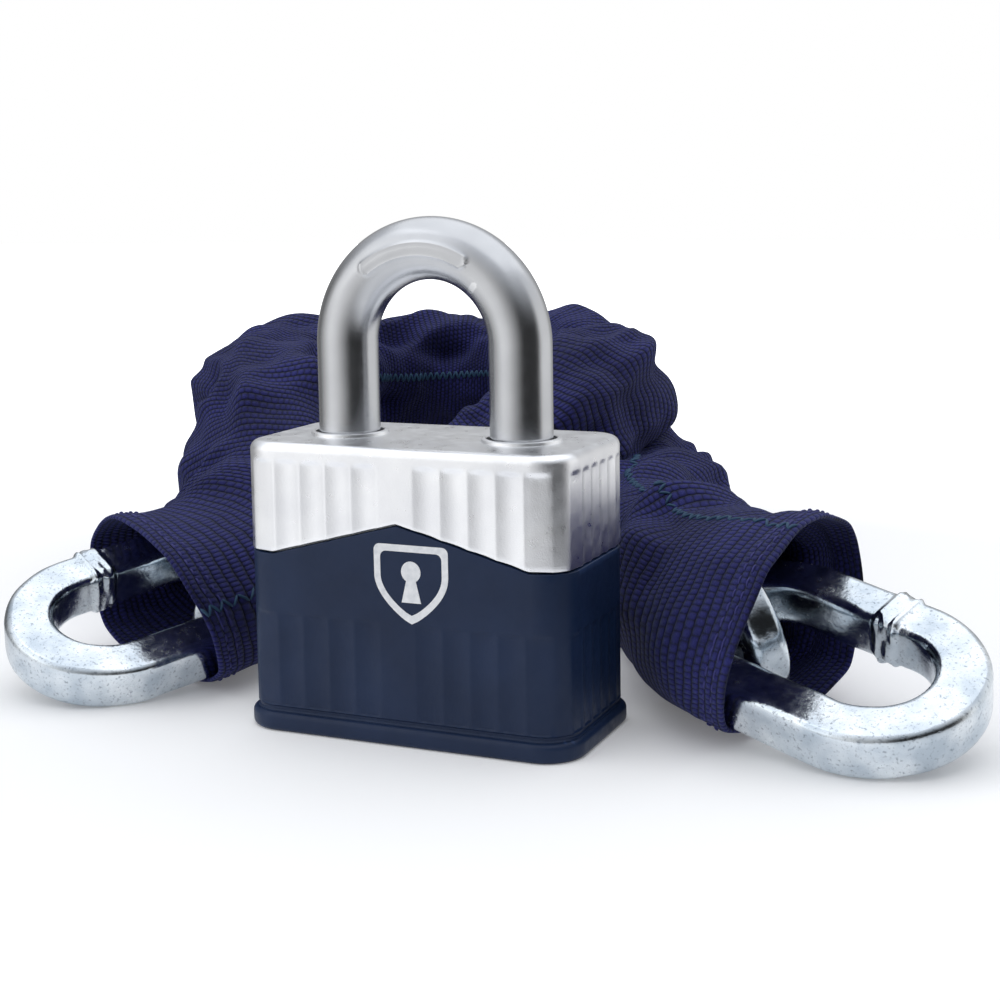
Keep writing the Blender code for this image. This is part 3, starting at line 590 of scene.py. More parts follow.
def build_upper_shell():
    """Bead-blasted die-casting with fluted sides, a plain border and a rim round each leg."""
    parting = parting_height()
    rings = [case_ring(-WALL, CEILING), case_ring(-WALL, parting)]
    rings += parting_edge(FLUTES, parting, UPPER_EDGE, 1)
    flute_low = parting + UPPER_EDGE
    flute_top = BODY_TOP - TOP_ROUNDING - BORDER
    for share in np.linspace(0, 1, 18)[1:]:
        rings.append(case_ring(FLUTES, flute_low + (flute_top - flute_low) * share))
    for share in (0.25, 0.5, 0.75, 1.0):
        rings.append(case_ring(FLUTES * (1 - ramp(share, 0.0, 1.0)), flute_top + UPPER_RUN_OUT * share))
    for sine, cosine in quarter_round(8):
        rings.append(case_ring(-TOP_ROUNDING * (1 - cosine), BODY_TOP - TOP_ROUNDING * (1 - sine)))
    shell = shell_from_rings("upper_shell_fine", rings)
    for side in (-1, 1):
        foot = (PLACE.x + side * LEG_X, PLACE.y, CEILING - CUT_PAST)
        cut(shell, rod("leg_hole", RIM_INNER, foot, BODY_TOP - CEILING + 2 * CUT_PAST))
    for side in (-1, 1):
        add_rim(shell, side * LEG_X)
    smooth(shell, 28.0)
    dress(shell, "cast_silver", "padlock")
    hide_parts("upper_shell")


def add_rim(shell, x):
    """Rounded collar on the top face round one leg."""
    sink = 0.4 * MM
    profile = [(RIM_INNER, -sink), (RIM_INNER, 0.75 * RIM_HEIGHT), (RIM_INNER + 0.2 * MM, RIM_HEIGHT),
               (RIM_OUTER - 0.5 * MM, RIM_HEIGHT), (RIM_OUTER - 0.15 * MM, 0.75 * RIM_HEIGHT),
               (RIM_OUTER, -sink)]
    sides = 96
    vertices = []
    for radius, height in profile:
        for side in range(sides):
            angle = 2 * math.pi * side / sides
            vertices.append((PLACE.x + x + radius * math.cos(angle), PLACE.y + radius * math.sin(angle),
                             BODY_TOP + height))
    collar = tidy_normals(mesh_object("rim", vertices, ring_faces(len(profile), sides, True)))
    join(shell, collar)


def join(target, extra):
    """Add another object's faces to the target, keeping both as they are."""
    joined = bmesh.new()
    joined.from_mesh(target.data)
    joined.from_mesh(extra.data)
    joined.to_mesh(target.data)
    joined.free()
    bpy.data.objects.remove(extra, do_unlink=True)


def build_lower_boot():
    """Moulded boot: rounded foot flange, a groove above it, fluted lower half, plain panel above."""
    top = parting_height() - PARTING_GAP
    base = -BOOT_INSET
    rings = [case_ring(-WALL, FLOOR_TOP), case_ring(-WALL, top)]
    rings += parting_edge(base, top, LOWER_EDGE, -1)
    panel_top = top - LOWER_EDGE
    panel_low = LOWER_FLUTE_HIGH + LOWER_RUN_OUT
    for share in np.linspace(0, 1, 10)[1:]:
        rings.append(case_ring(base, panel_top + (panel_low - panel_top) * share))
    for share in np.linspace(0, 1, 6)[1:]:
        rings.append(case_ring(base + FLUTES * ramp(share, 0.0, 1.0), panel_low - LOWER_RUN_OUT * share))
    for share in np.linspace(0, 1, 10)[1:]:
        height = LOWER_FLUTE_HIGH + (LOWER_FLUTE_LOW - LOWER_FLUTE_HIGH) * share
        rings.append(case_ring(base + FLUTES, height))
    bottom = base - GROOVE_DEPTH
    for offset, height in ((base, 4.9), (bottom, 4.6), (bottom, 4.2), (base, 3.9)):
        rings.append(case_ring(offset, height * MM))
    for sine, cosine in quarter_round(6):
        rings.append(case_ring(base + (FLANGE_LIP - base) * sine, FLANGE_MIDDLE + FLANGE_ROUND * cosine))
    for sine, cosine in quarter_round(6):
        rings.append(case_ring(FLANGE_LIP - FLANGE_ROUND * (1 - cosine), FLANGE_ROUND * (1 - sine)))
    boot = shell_from_rings("lower_boot_fine", rings)
    cut(boot, rod("key_hole", KEY_HOLE_RADIUS, PLACE - Vector((0, 0, CUT_PAST)), FLOOR_TOP + 2 * CUT_PAST))
    smooth(boot, 28.0)
    dress(boot, "boot_navy", "padlock")
    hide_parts("lower_boot")


def flat_badge(name, outlines, y, thickness):
    """Closed outlines in X and Z as a thin raised print on the front face; inner ones are holes."""
    curve = bpy.data.curves.new(name, "CURVE")
    curve.dimensions = "2D"
    curve.fill_mode = "BOTH"
    curve.extrude = thickness / 2
    for outline in outlines:
        spline = curve.splines.new("POLY")
        spline.points.add(len(outline) - 1)
        for index, (x, z) in enumerate(outline):
            spline.points[index].co = (x, z, 0.0, 1.0)
        spline.use_cyclic_u = True
    drawn = placed(name + "_curve", curve)
    bpy.context.view_layer.update()
    mesh = bpy.data.meshes.new_from_object(drawn.evaluated_get(bpy.context.evaluated_depsgraph_get()))
    bpy.data.objects.remove(drawn, do_unlink=True)
    mesh.transform(Matrix.Translation((PLACE.x, y, 0)) @ Matrix.Rotation(math.pi / 2, 4, "X"))
    return placed(name, mesh)


def arc_points(x, z, radius, start, end, steps):
    points = []
    for step in range(steps + 1):
        angle = math.radians(start + (end - start) * step / steps)
        points.append((x + radius * math.cos(angle), z + radius * math.sin(angle)))
    return points


def shield_outline(x, z, half_width, top, bottom):
    """Flat-topped shield whose sides curve in to a point."""
    corner = 1.2 * MM
    shoulder = 1.0 * MM
    points = arc_points(x + half_width - corner, z + top - corner, corner, 0, 90, 6)
    points += arc_points(x - half_width + corner, z + top - corner, corner, 90, 180, 6)
    for side, shares in ((-1, np.linspace(0, 1, 16)), (1, np.linspace(1, 0, 16))):
        for share in shares[1:]:
            reach = half_width * math.cos(share * math.pi / 2) ** 0.8
            points.append((x + side * reach, z + shoulder - (bottom + shoulder) * share))
    return points


def build_emblem():
    """Plain printed shield with a keyhole."""
    x, z = EMBLEM_PLACE
    front = PLACE.y - BODY_DEPTH / 2 + BOOT_INSET
    keyhole = arc_points(x, z + 1.6 * MM, 2.0 * MM, -60, 240, 24)
    keyhole += [(x - 2.0 * MM, z - 4.2 * MM), (x + 2.0 * MM, z - 4.2 * MM)]
    outlines = [shield_outline(x, z, 7.6 * MM, 6.6 * MM, 8.2 * MM),
                shield_outline(x, z, 6.3 * MM, 5.3 * MM, 6.6 * MM), keyhole]
    badge = flat_badge("keyhole_emblem", outlines, front - 0.02 * MM, 0.08 * MM)
    dress(badge, "boot_navy", "padlock", INK)


# ---------------------------------------------------------------- shackle

def shackle_path():
    """Points, outward-in-plane directions and, on the arch, the angle, from the heel end to the toe end."""
    rows = []
    for z in np.arange(SHACKLE_LOW.z, ARCH_CENTRE_Z, 1.5 * MM):
        rows.append(((-LEG_X, z), (-1.0, 0.0), None))
    steps = 150
    for step in range(steps + 1):
        angle = math.pi * (1 - step / steps)
        out = (math.cos(angle), math.sin(angle))
        rows.append(((LEG_X * out[0], ARCH_CENTRE_Z + LEG_X * out[1]), out, angle))
    for z in np.arange(ARCH_CENTRE_Z - 1.5 * MM, TOE_END_Z, -1.5 * MM):
        rows.append(((LEG_X, z), (1.0, 0.0), None))
    rows.append(((LEG_X, TOE_END_Z), (1.0, 0.0), None))
    return rows


def pad_lift(angle, turn):
    """Height of the blank pad at one place: angle along the arch, turn round the bar."""
    front_turn = (turn + math.pi / 2 + math.pi) % (2 * math.pi) - math.pi
    along = max(0.0, abs(angle - PAD_ANGLE) * LEG_X - (PAD_HALF_LENGTH - PAD_HALF_WIDTH))
    distance = math.hypot(along, front_turn * BAR_RADIUS)
    lift = float(1 - ramp(distance, PAD_HALF_WIDTH - PAD_BEVEL, PAD_HALF_WIDTH))
    border = float(ramp(distance, 0.5 * PAD_HALF_WIDTH, 0.75 * PAD_HALF_WIDTH))
    return PAD_RAISE * lift * (0.55 + 0.45 * border)


def build_shackle():
    """Round bar bent to a U, with a blank raised pad on the front of the arch."""
    sides = 96
    rows = shackle_path()
    end_round = 1.0 * MM
    vertices = []
    for index, ((x, z), out, angle) in enumerate(rows):
        radius = BAR_RADIUS - (end_round if index in (0, len(rows) - 1) else 0.0)
        for side in range(sides):
            turn = 2 * math.pi * side / sides
            raised = radius
            if angle is not None:
                raised += pad_lift(angle, turn)
            across = raised * math.cos(turn)
            vertices.append((PLACE.x + x + out[0] * across, PLACE.y + raised * math.sin(turn),
                             z + out[1] * across))
    faces = ring_faces(len(rows), sides) + end_caps(len(rows), sides)
    bar = tidy_normals(mesh_object("shackle_fine", vertices, faces))
    for side in (-1, 1):
        cut(bar, notch_ball(side))
    cut(bar, heel_flat_block())
    spring_foot = (PLACE.x - LEG_X, PLACE.y, SHACKLE_LOW.z - CUT_PAST)
    cut(bar, rod("spring_bore", SPRING_BORE_RADIUS, spring_foot, SPRING_BORE_TOP - spring_foot[2], 32))
    smooth(bar, 30.0)
    dress(bar, "satin_steel", "shackle")
    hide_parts("shackle")


def notch_ball(side):
    """Tool for the hollow that a locking ball sits in."""
    return primitive("notch", bmesh.ops.create_uvsphere, (PLACE.x + side * NOTCH_X, PLACE.y, BALL_Z),
                     u_segments=48, v_segments=24, radius=NOTCH_RADIUS)


def heel_flat_block():
    """Tool for the flat along the heel leg that the retaining pin runs in."""
    flat_x = PLACE.x - LEG_X - BAR_RADIUS + HEEL_FLAT_DEPTH
    low = Vector((flat_x - 2 * BAR_RADIUS, PLACE.y - 10 * MM, HEEL_FLAT_LOW))
    high = Vector((flat_x, PLACE.y + 10 * MM, HEEL_FLAT_HIGH))
    return primitive("heel_flat", bmesh.ops.create_cube, (low + high) / 2, size=1.0,
                     matrix=Matrix.Diagonal((*(high - low), 1.0)))


# ---------------------------------------------------------------- links

def square_section(bar, edge, steps=5):
    """Rounded square as (across, up) points, counter-clockwise."""
    reach = bar / 2 - edge
    points = []
    for turn, (sx, sy) in enumerate(((1, 1), (-1, 1), (-1, -1), (1, -1))):
        for step in range(steps + 1):
            angle = math.radians(90 * (turn + step / steps))
            points.append((sx * reach + edge * math.cos(angle), sy * reach + edge * math.sin(angle)))
        for share in (0.25, 0.5, 0.75):
            flat = reach * (1 - 2 * share)
            points.append((-bar / 2 * math.sin(turn * math.pi / 2) + flat * math.cos(turn * math.pi / 2),
                           bar / 2 * math.cos(turn * math.pi / 2) + flat * math.sin(turn * math.pi / 2)))
    return points


def link_rows(opening, length, bar, step):
    """Centre points and outward directions round one link, starting on the straight with the weld."""
    radius = (opening + bar) / 2
    straight = (length - opening) / 2
    rows = []
    for sign in (1, -1):
        for share in np.linspace(0, 1, max(2, round(4 * straight / step)))[:-1]:
            rows.append((sign * straight * (2 * share - 1), sign * radius, 0.0, sign * 1.0))
        for share in np.linspace(0, 1, max(8, round(math.pi * radius / step)))[:-1]:
            angle = sign * math.pi / 2 - math.pi * share
            rows.append((sign * straight + radius * math.cos(angle), radius * math.sin(angle),
                         math.cos(angle), math.sin(angle)))
    return rows, straight, radius


def link_object(name, sizes, weld, seed, step=0.8 * MM):
    """One link, long way along X: square bar with worn edges, and a collar on the weld side (1 or -1)."""
    bar, opening, length = sizes
    rows, straight, radius = link_rows(opening, length, bar, step)
    section = square_section(bar, LINK_EDGE, 6)
    weld_at = 0.58 * straight
    vertices = []
    for x, y, out_x, out_y in rows:
        near_weld = 0.0
        if weld * y > radius * 0.99:
            near_weld = math.exp(-((x - weld_at) / (2.5 * MM)) ** 8)
        for across, up in section:
            point = Vector((x + out_x * across, y + out_y * across, up))
            wear = 0.12 * MM * noise.noise(point * 160 + Vector((seed, 0, 0)))
            lump = 0.6 * MM * noise.noise(point * 620 + Vector((0, seed, 0)))
            ridge = 0.2 * MM * math.exp(-((abs(x - weld_at) - 2.0 * MM) / (0.45 * MM)) ** 2)
            grow = 1 + (wear + near_weld * (0.5 * MM + lump + ridge)) / (bar / 2)
            vertices.append((x + out_x * across * grow, y + out_y * across * grow, up * grow))
    faces = ring_faces(len(rows), len(section), True)
    link = tidy_normals(mesh_object(name, vertices, faces))
    link.data.shade_smooth()
    return link


def long_axes(node):
    """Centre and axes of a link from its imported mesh, longest first."""
    points = np.array([v.co for v in frame["nodes"][node].data.vertices])
    low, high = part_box(node)
    centre = np.array((low + high) / 2)
    values, vectors = np.linalg.eigh(np.cov((points - points.mean(0)).T))
    x, y = Vector(vectors[:, 2]), Vector(vectors[:, 1])
    return Matrix.Translation(centre) @ Matrix((x, y, x.cross(y))).transposed().to_4x4()


def turned(node):
    """Place and tilt of an end link."""
    yaw, pitch, roll = END_LINK_TURNS[node]
    low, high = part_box(node)
    return (Matrix.Translation((low + high) / 2) @ Matrix.Rotation(math.radians(yaw), 4, "Z")
            @ Matrix.Rotation(math.radians(pitch), 4, "Y") @ Matrix.Rotation(math.radians(roll), 4, "X"))


def build_links():
    """Fine meshes for the links that show: both end links and the first one inside each mouth."""
    plan = [("end_link_right", END_LINK, 1, "right_end_link"),
            ("end_link_left", END_LINK, -1, "left_end_link"),
            ("chain_link_01", INNER_LINK, 0, "right_tail"),
            ("chain_link_25", INNER_LINK, 0, "left_tail")]
    for index, (node, sizes, weld, body) in enumerate(plan):
        link = link_object(node + "_fine", sizes, weld, 10.0 * index)
        link.data.transform(turned(node) if node in END_LINK_TURNS else long_axes(node))
        link.data.update()
        dress(link, "zinc_plate", body)
        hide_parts(node)


# ---------------------------------------------------------------- fabric sleeve

def chain_order():
    """Names of the links from the right end of the chain to the left."""
    return ["end_link_right"] + [f"chain_link_{index:02d}" for index in range(1, 26)] + ["end_link_left"]


class Centreline:
    """Smooth line through the middles of the links, read by distance from the right end link."""

    def __init__(self):
        middles = []
        for node in chain_order():
            low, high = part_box(node)
            middles.append(np.array((low + high) / 2))
        knots = np.array([2 * middles[0] - middles[1], *middles, 2 * middles[-1] - middles[-2]])
        samples = []
        for span in range(1, len(knots) - 2):
            a, b, c, d = knots[span - 1:span + 3]
            for t in np.linspace(0, 1, SAMPLES_PER_LINK, endpoint=False):
                samples.append(0.5 * (2 * b + (c - a) * t + (2 * a - 5 * b + 4 * c - d) * t ** 2
                                      + (3 * b - a - 3 * c + d) * t ** 3))
        samples.append(middles[-1])
        self.samples = np.array(samples)
        steps = np.linalg.norm(np.diff(self.samples, axis=0), axis=1)
        self.distance = np.concatenate([[0.0], np.cumsum(steps)])
        self.length = self.distance[-1]

    def at(self, distances):
        return np.column_stack([np.interp(distances, self.distance, column) for column in self.samples.T])

    def axes(self, distances, reach=6.0 * MM):
        """Level forward, side and up vectors at each distance."""
        low = np.clip(distances - reach, 0, self.length)
        high = np.clip(distances + reach, 0, self.length)
        tangent = self.at(high) - self.at(low)
        tangent /= np.linalg.norm(tangent, axis=1)[:, None]
        side = np.cross([0.0, 0.0, 1.0], tangent)
        side /= np.linalg.norm(side, axis=1)[:, None]
        return np.cross(side, [0.0, 0.0, 1.0]), side, np.cross(tangent, side)


def sleeve_sizes(line, distances):
    """Half width and half height of the sleeve along the chain."""
    keys = [(d * MM, w, h) for d, w, h in RIGHT_MOUTH]
    keys += [(90 * MM, *COIL_HALF), (line.length - 90 * MM, *COIL_HALF)]
    keys += [(line.length - d * MM, w, h) for d, w, h in reversed(LEFT_MOUTH)]
    keys = np.array(keys)
    width = np.interp(distances, keys[:, 0], keys[:, 1]) * MM
    height = np.interp(distances, keys[:, 0], keys[:, 2]) * MM
    return width, height


def fold_noise(distances, angles, along, around, seed):
    """Smooth noise on the tube; a long way round and a short way along gives gathers."""
    values = np.zeros((len(distances), len(angles)))
    for row, distance in enumerate(distances):
        for column, angle in enumerate(angles):
            point = Vector((distance / along + seed, around * math.cos(angle), around * math.sin(angle)))
            values[row, column] = noise.noise(point)
    return values


def sleeve_skin(line, distances, angles):
    """Outer surface of the sleeve as a grid of rings, and the point each surface point looks out from."""
    forward, side, up = line.axes(distances)
    width, height = sleeve_sizes(line, distances)
    centre = line.at(distances)
    centre[:, 2] = np.maximum(centre[:, 2], height * up[:, 2] + 0.4 * MM)
    power = 2 / SLEEVE_POWER
    across = np.sign(np.cos(angles)) * np.abs(np.cos(angles)) ** power
    rise = np.sign(np.sin(angles)) * np.abs(np.sin(angles)) ** power
    slide = np.zeros((len(distances), len(angles)))
    mouths = ((distances, RIGHT_RIM, 1), (line.length - distances, LEFT_RIM, -1))
    for from_mouth, (base, by_side, by_corner, raised), sign in mouths:
        share = 1 - ramp(from_mouth, MOUTH_INSET, RIM_REACH)
        shift = base + by_side * across + by_corner * across * rise
        slide += sign * MM * share[:, None] * shift[None, :]
        centre[:, 2] += raised * MM * share
    swell = sleeve_folds(line, distances, angles)
    inner = centre[:, None, :] + forward[:, None, :] * slide[:, :, None]
    out = (side[:, None, :] * (across[None, :] * (width[:, None] + swell))[:, :, None]
           + up[:, None, :] * (rise[None, :] * (height[:, None] + swell))[:, :, None])
    return inner + out, inner


def sleeve_folds(line, distances, angles):
    """Gathers, creases and the turned hem, as a swelling of the sleeve's radius."""
    from_left = line.length - distances
    away = ramp(distances, 8 * MM, 55 * MM) * ramp(from_left, 8 * MM, 45 * MM)
    gathers = fold_noise(distances, angles, 21 * MM, 1.0, 3.0)
    creases = np.abs(fold_noise(distances, angles, 30 * MM, 1.5, 40.0))
    ripples = fold_noise(distances, angles, 8 * MM, 1.6, 80.0)
    swell = (5.6 * gathers - 9.0 * creases + 1.4 + 1.5 * ripples) * MM * (0.2 + 0.8 * away)[:, None]
    hem = np.minimum(distances, from_left) - MOUTH_INSET
    turned_in = 1 - ramp(hem, HEM_LENGTH - 0.8 * MM, HEM_LENGTH)
    return swell + (0.5 * MM * turned_in)[:, None]


def link_trees(line):
    """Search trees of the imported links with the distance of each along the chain."""
    trees = []
    for index, node in enumerate(chain_order()):
        mesh = frame["nodes"][node].data
        tree = BVHTree.FromPolygons([v.co for v in mesh.vertices], [p.vertices for p in mesh.polygons])
        trees.append((line.distance[SAMPLES_PER_LINK * index], tree))
    return trees


def neighbours(grid, axis):
    """The grid moved by one each way: along the sleeve (0), where it stops, or round it (1)."""
    if axis == 1:
        return np.roll(grid, 1, 1), np.roll(grid, -1, 1)
    return np.vstack([grid[:1], grid[:-1]]), np.vstack([grid[1:], grid[-1:]])


def clear_of_links(skin, inner, distances, trees):
    """Push the cloth out wherever a link would show through, and let it fall off smoothly round there."""
    reach = 46 * MM
    near_reach = 40 * MM
    out = skin - inner
    radius = np.linalg.norm(out, axis=2)
    push = np.zeros(radius.shape)
    for ring, distance in enumerate(distances):
        near = [tree for place, tree in trees if abs(place - distance) < near_reach]
        for column in range(radius.shape[1]):
            direction = Vector(out[ring, column]) / radius[ring, column]
            start = Vector(inner[ring, column]) + direction * reach
            for tree in near:
                found = tree.ray_cast(start, -direction, reach)
                if found[0] is not None:
                    needed = reach - found[3] + SLEEVE_WALL + LINK_CLEARANCE
                    push[ring, column] = max(push[ring, column], needed - radius[ring, column])
    spread = push
    for _ in range(5):
        highest = np.maximum.reduce([*neighbours(spread, 1), *neighbours(spread, 0)])
        spread = np.maximum(spread, 0.8 * highest)
    for axis in (1, 0) * 3:
        first, second = neighbours(spread, axis)
        spread = (spread + first + second) / 3
    pushed = inner + out * (1 + np.maximum(push, spread) / radius)[:, :, None]
    pushed[:, :, 2] = np.maximum(pushed[:, :, 2], FLOOR_GAP)
    return pushed


def gather_by_simulation(name, skin, inner, distances, faces):
    """Cloth that is longer than the way it lies along buckles into gathers; the move is capped."""
    rings, sides = skin.shape[:2]
    flat = skin.reshape(-1, 3) * CLOTH_SCALE
    piece = mesh_object(name + "_cloth", flat, faces)
    piece.shape_key_add(name="Basis")
    relaxed = piece.shape_key_add(name="relaxed")
    radius = np.linalg.norm(skin - inner, axis=2)
    turn = np.linspace(0, 2 * math.pi, sides, endpoint=False)
    straight = np.stack([np.repeat(distances[:, None] * CLOTH_SLACK, sides, 1), radius * np.cos(turn),
                         radius * np.sin(turn)], axis=2)
    relaxed.data.foreach_set("co", (straight * CLOTH_SCALE).astype(np.float32).ravel())
    held = piece.vertex_groups.new(name="held")
    held.add(list(range(2 * sides)) + list(range((rings - 2) * sides, rings * sides)), 1.0, "REPLACE")
    cloth = piece.modifiers.new("cloth", "CLOTH")
    settings = cloth.settings
    settings.rest_shape_key = relaxed
    settings.vertex_group_mass = "held"
    settings.quality = 6
    settings.mass = 0.15
    settings.tension_stiffness = settings.compression_stiffness = 40
    settings.shear_stiffness = 10
    settings.bending_stiffness = 0.1
    settings.use_pressure = True
    settings.uniform_pressure_force = 0.8
    settings.effector_weights.gravity = 0.0
    cloth.collision_settings.use_collision = False
    cloth.point_cache.frame_start, cloth.point_cache.frame_end = 1, CLOTH_FRAMES
    for step in range(1, CLOTH_FRAMES + 1):
        bpy.context.scene.frame_set(step)
    evaluated = piece.evaluated_get(bpy.context.evaluated_depsgraph_get())
    settled = np.empty(len(flat) * 3, np.float32)
    evaluated.data.vertices.foreach_get("co", settled)
    bpy.data.objects.remove(piece, do_unlink=True)
    bpy.context.scene.frame_set(1)
    moved = settled.reshape(skin.shape).astype(float) / CLOTH_SCALE - skin
    length = np.linalg.norm(moved, axis=2, keepdims=True)
    return skin + moved * np.minimum(1.0, CLOTH_CAP / np.maximum(length, 1e-9))


def cloth_faces_and_map(rings, sides, distances):
    """Faces of the tube, and the cloth_mm map that lays the weave out in millimetres."""
    faces = ring_faces(rings, sides)
    maps = []
    for ring in range(rings - 1):
        low, high = distances[ring] / MM, distances[ring + 1] / MM
        for side in range(sides):
            left, right = CLOTH_ROUND * side / sides, CLOTH_ROUND * (side + 1) / sides
            maps.append([(left, low), (right, low), (right, high), (left, high)])
    return faces, maps


def build_sleeve(line):
    """The sleeve in two lengths that share a ring under the upper turn."""
    middle = SLEEVE_JOIN * line.length
    plan = [("sleeve_right_half", MOUTH_INSET, middle, "right_tail", ("sleeve_right_tail", "sleeve_coil")),
            ("sleeve_left_half", middle, line.length - MOUTH_INSET, "left_tail", ("sleeve_left_tail",))]
    angles = np.linspace(0, 2 * math.pi, RING_SIDES, endpoint=False)
    trees = link_trees(line)
    for name, start, end, tail, nodes in plan:
        count = round((end - start) / RING_STEP)
        distances = np.linspace(start, end, count)
        faces, maps = cloth_faces_and_map(count, RING_SIDES, distances)
        skin, inner = sleeve_skin(line, distances, angles)
        skin = clear_of_links(skin, inner, distances, trees)
        skin = gather_by_simulation(name, skin, inner, distances, faces)
        skin = clear_of_links(skin, inner, distances, trees)
        piece = mesh_object(name, skin.reshape(-1, 3), faces, maps)
        tidy_normals(piece)
        wall = piece.modifiers.new("wall", "SOLIDIFY")
        wall.thickness = SLEEVE_WALL
        wall.offset = -1.0
        fine = piece.modifiers.new("fine", "SUBSURF")
        fine.levels = fine.render_levels = 1
        bake(piece)
        piece.data.shade_smooth()
        dress(piece, "webbing_navy")
        tail_ways(line, piece, tail)
        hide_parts(*nodes)
        mouth = start if tail == "right_tail" else end
        build_stitching(line, name, ClothSheet(skin, distances), mouth, tail, SEAM_TURNS[tail])


def stitches(name, runs, radius):
    """Short raised threads, each from one point to another and lifted along the cloth's normal."""
    sides = 6
    shape = ((0.0, 0.4), (0.2, 0.9), (0.5, 1.0), (0.8, 0.9), (1.0, 0.4))
    thread_faces = ring_faces(len(shape), sides) + end_caps(len(shape), sides)
    vertices, faces = [], []
    for start, end, normal in runs:
        across = np.cross(normal, end - start)
        across /= np.linalg.norm(across)
        first = len(vertices)
        for share, thickness in shape:
            rise = 0.6 * math.sin(math.pi * share) - 0.1
            middle = start + (end - start) * share + normal * radius * rise
            for side in range(sides):
                turn = 2 * math.pi * side / sides
                offset = across * math.cos(turn) + normal * math.sin(turn)
                vertices.append(middle + offset * radius * thickness)
        faces += [tuple(first + corner for corner in face) for face in thread_faces]
    piece = tidy_normals(mesh_object(name, vertices, faces))
    piece.data.shade_smooth()
    return piece


class ClothSheet:
    """Reads points and normals anywhere on a grid of rings."""

    def __init__(self, skin, distances):
        self.skin, self.distances = skin, distances

    def point(self, distance, turn):
        rings, sides = self.skin.shape[:2]
        ring = np.interp(distance, self.distances, np.arange(rings))
        column = (turn / (2 * math.pi) * sides) % sides
        low, left = min(int(ring), rings - 2), int(column)
        right = (left + 1) % sides
        down, over = ring - low, column - left
        near = self.skin[low, left] * (1 - over) + self.skin[low, right] * over
        far = self.skin[low + 1, left] * (1 - over) + self.skin[low + 1, right] * over
        return near * (1 - down) + far * down

    def normal(self, distance, turn, middle):
        step = 0.03
        along = self.point(distance + 1.2 * MM, turn) - self.point(distance - 1.2 * MM, turn)
        around = self.point(distance, turn + step) - self.point(distance, turn - step)
        normal = np.cross(along, around)
        normal /= np.linalg.norm(normal)
        return normal if np.dot(normal, self.point(distance, turn) - middle) > 0 else -normal


def build_stitching(line, name, sheet, mouth, tail, seam_turn):
    """Two rows along the hem, and the overlocked seam that runs the length of the sleeve."""
    sign = 1 if tail == "right_tail" else -1
    hem_runs = []
    for row in HEM_ROWS:
        distance = mouth + sign * row
        middle = line.at(np.array([distance]))[0]
        for turn in np.arange(0, 2 * math.pi, HEM_STITCH_PITCH):
            ends = sheet.point(distance, turn), sheet.point(distance, turn + HEM_STITCH)
            hem_runs.append((*ends, sheet.normal(distance, turn + HEM_STITCH / 2, middle)))
    hem = stitches(name + "_hem_stitches", hem_runs, 0.24 * MM)
    dress(hem, "webbing_navy", tail, HEM_THREAD)
    seam_runs = []
    margin = 1.0 * MM
    places = np.arange(sheet.distances[0] + margin, sheet.distances[-1] - margin, SEAM_PITCH)
    for index, distance in enumerate(places):
        turn = seam_turn + 0.05 * math.sin(distance / (17 * MM))
        slant = SEAM_SLANT * (1 if index % 2 else -1)
        ends = sheet.point(distance, turn - slant), sheet.point(distance + SEAM_STITCH, turn + slant)
        middle = line.at(np.array([distance]))[0]
        seam_runs.append((*ends, sheet.normal(distance, turn, middle)))
    seam = stitches(name + "_seam", seam_runs, 0.33 * MM)
    dress(seam, "webbing_navy", None, SEAM_THREAD)
    tail_ways(line, seam, tail)


def tail_ways(line, piece, tail):
    """Work out the ends of the bend where the frame's sleeve is split, but bend nothing; only bake the
    piece's place into its mesh.
    """
    right = tail == "right_tail"
    split = RIGHT_SPLIT if right else line.length - LEFT_SPLIT
    bend = BEND_HALF if right else -BEND_HALF
    start, end = line.at(np.array([split - bend, split + bend]))
    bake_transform(piece)


# ---------------------------------------------------------------- studio

def floor_material():
    """Pale floor that fades into the white surroundings, and mirrors the studio's levels further out."""
    shader = Shader("pale_floor")
    tree = shader.tree
    tone = shader.blend(shader.cloud(3.0, 2.0), (0.90, 0.90, 0.905), (0.93, 0.93, 0.93))
    place = shader.node("ShaderNodeVectorMath", {0: shader.coordinates.outputs["Object"], 1: tuple(PLACE)},
                        operation="SUBTRACT").outputs["Vector"]
    away = shader.node("ShaderNodeVectorMath", {0: place}, operation="LENGTH").outputs["Value"]
    feed(shader.surface.inputs["Emission Color"], (1.0, 1.0, 1.0, 1.0))
    feed(shader.surface.inputs["Emission Strength"], shader.spread(away, 0.22, 0.50, 0.12, 1.0))
    pale = shader.finish(Base_Color=tone, Roughness=0.8)
    mirrored = shader.node("ShaderNodeEmission", {"Color": studio_level(tree, place)})
    hidden = shader.compute("SUBTRACT", 1.0, seen_by_camera(tree))
    share = shader.compute("MULTIPLY", hidden, shader.spread(away, 0.09, 0.20))
    mixed = shader.node("ShaderNodeMixShader", {0: share, 1: shader.surface.outputs["BSDF"],
                                                2: mirrored.outputs["Emission"]})
    tree.links.new(mixed.outputs["Shader"], tree.nodes["Material Output"].inputs["Surface"])
    return pale


def build_floor():
    floor = mesh_object("floor", [(-3, -3, 0), (3, -3, 0), (3, 3, 0), (-3, 3, 0)], [(0, 1, 2, 3)])
    floor.data.materials.append(floor_material())


def area_light(name, offset, side_length, power):
    """Square soft light that looks at the padlock, placed from the middle of its base."""
    light = bpy.data.lights.new(name, "AREA")
    light.shape = "RECTANGLE"
    light.size = light.size_y = side_length
    light.energy = power
    obj = placed(name, light)
    obj.location = PLACE + Vector(offset)
    target = PLACE + Vector(LIGHT_TARGET)
    obj.rotation_euler = (target - obj.location).to_track_quat("-Z", "Y").to_euler()


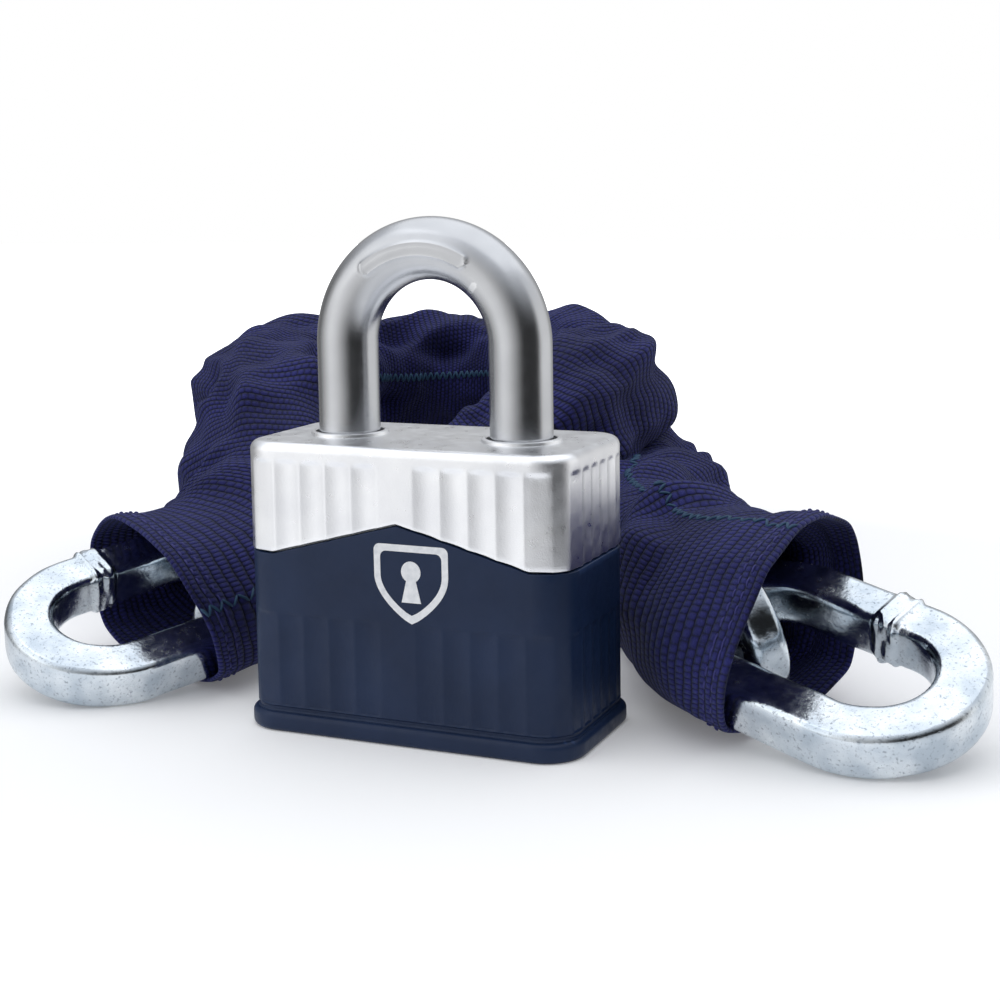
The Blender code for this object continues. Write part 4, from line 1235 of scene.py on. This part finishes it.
def studio_level(tree, direction):
    """Brightness of the studio by compass direction, from SKY_LEVELS, as a colour socket."""
    turn = add_node(tree, "ShaderNodeMapping", {"Vector": direction, "Rotation": (0.0, 0.0, -VIEW_HEADING)})
    parts = add_node(tree, "ShaderNodeSeparateXYZ", {"Vector": turn.outputs["Vector"]})
    behind = add_node(tree, "ShaderNodeMath", {0: parts.outputs["Y"], 1: -1.0}, operation="MULTIPLY")
    azimuth = add_node(tree, "ShaderNodeMath", {0: parts.outputs["X"], 1: behind.outputs[0]},
                       operation="ARCTAN2")
    share = add_node(tree, "ShaderNodeMapRange", {"Value": azimuth.outputs[0], "From Min": -math.pi,
                                                  "From Max": math.pi})
    level = add_node(tree, "ShaderNodeValToRGB", {"Fac": share.outputs["Result"]})
    stops = level.color_ramp.elements
    for stop, (_, value) in zip(stops, (SKY_LEVELS[0], SKY_LEVELS[-1])):
        stop.color = (value, value, value, 1)
    for degrees, value in SKY_LEVELS[1:-1]:
        stops.new((degrees + 180) / 360).color = (value, value, value, 1)
    return level.outputs["Color"]


def seen_by_camera(tree):
    return add_node(tree, "ShaderNodeLightPath").outputs["Is Camera Ray"]


def studio_sky():
    """White to the camera; to everything else a studio that is bright left and dark at the lens."""
    world = bpy.data.worlds.new("studio")
    bpy.context.scene.world = world
    world.use_nodes = True
    tree = world.node_tree
    direction = add_node(tree, "ShaderNodeTexCoord").outputs["Generated"]
    height = add_node(tree, "ShaderNodeSeparateXYZ", {"Vector": direction}).outputs["Z"]
    overhead = add_node(tree, "ShaderNodeMapRange", {"Value": height, "From Min": 0.25, "From Max": 0.75})
    dome = add_node(tree, "ShaderNodeMixRGB", {"Fac": overhead.outputs["Result"],
                                               "Color1": studio_level(tree, direction),
                                               "Color2": (0.80, 0.83, 0.88, 1.0)})
    seen = add_node(tree, "ShaderNodeMixRGB", {"Fac": seen_by_camera(tree), "Color1": dome.outputs["Color"],
                                               "Color2": (1.0, 1.0, 1.0, 1.0)})
    tree.links.new(seen.outputs["Color"], tree.nodes["Background"].inputs["Color"])


def build_studio():
    studio_sky()
    area_light("key_left", (-0.60, -0.55, 0.60), 1.0, 1.3)
    area_light("top", (0.0, 0.15, 1.00), 1.6, 4.5)


def build_camera():
    """Low three-quarter view from the front right, level with the shackle."""
    lens = bpy.data.cameras.new("camera")
    lens.lens = 60.44
    lens.sensor_width = 36.0
    lens.shift_y = -0.1232
    lens.clip_start = 0.01
    camera = placed("camera", lens)
    camera.matrix_world = (Matrix.Translation(PLACE + Vector(CAMERA_OFFSET) * MM)
                           @ Matrix.Rotation(VIEW_HEADING, 4, "Z")
                           @ Matrix.Rotation(math.pi / 2 - CAMERA_PITCH, 4, "X")
                           @ Matrix.Rotation(CAMERA_ROLL, 4, "Z"))
    bpy.context.scene.camera = camera
    bpy.context.scene.view_settings.view_transform = "Standard"


def build():
    dress_cad_nodes()
    build_upper_shell()
    build_lower_boot()
    build_emblem()
    build_shackle()
    build_links()
    build_sleeve(Centreline())
    build_floor()
    build_studio()
    build_camera()


build()
bpy.context.view_layer.update()
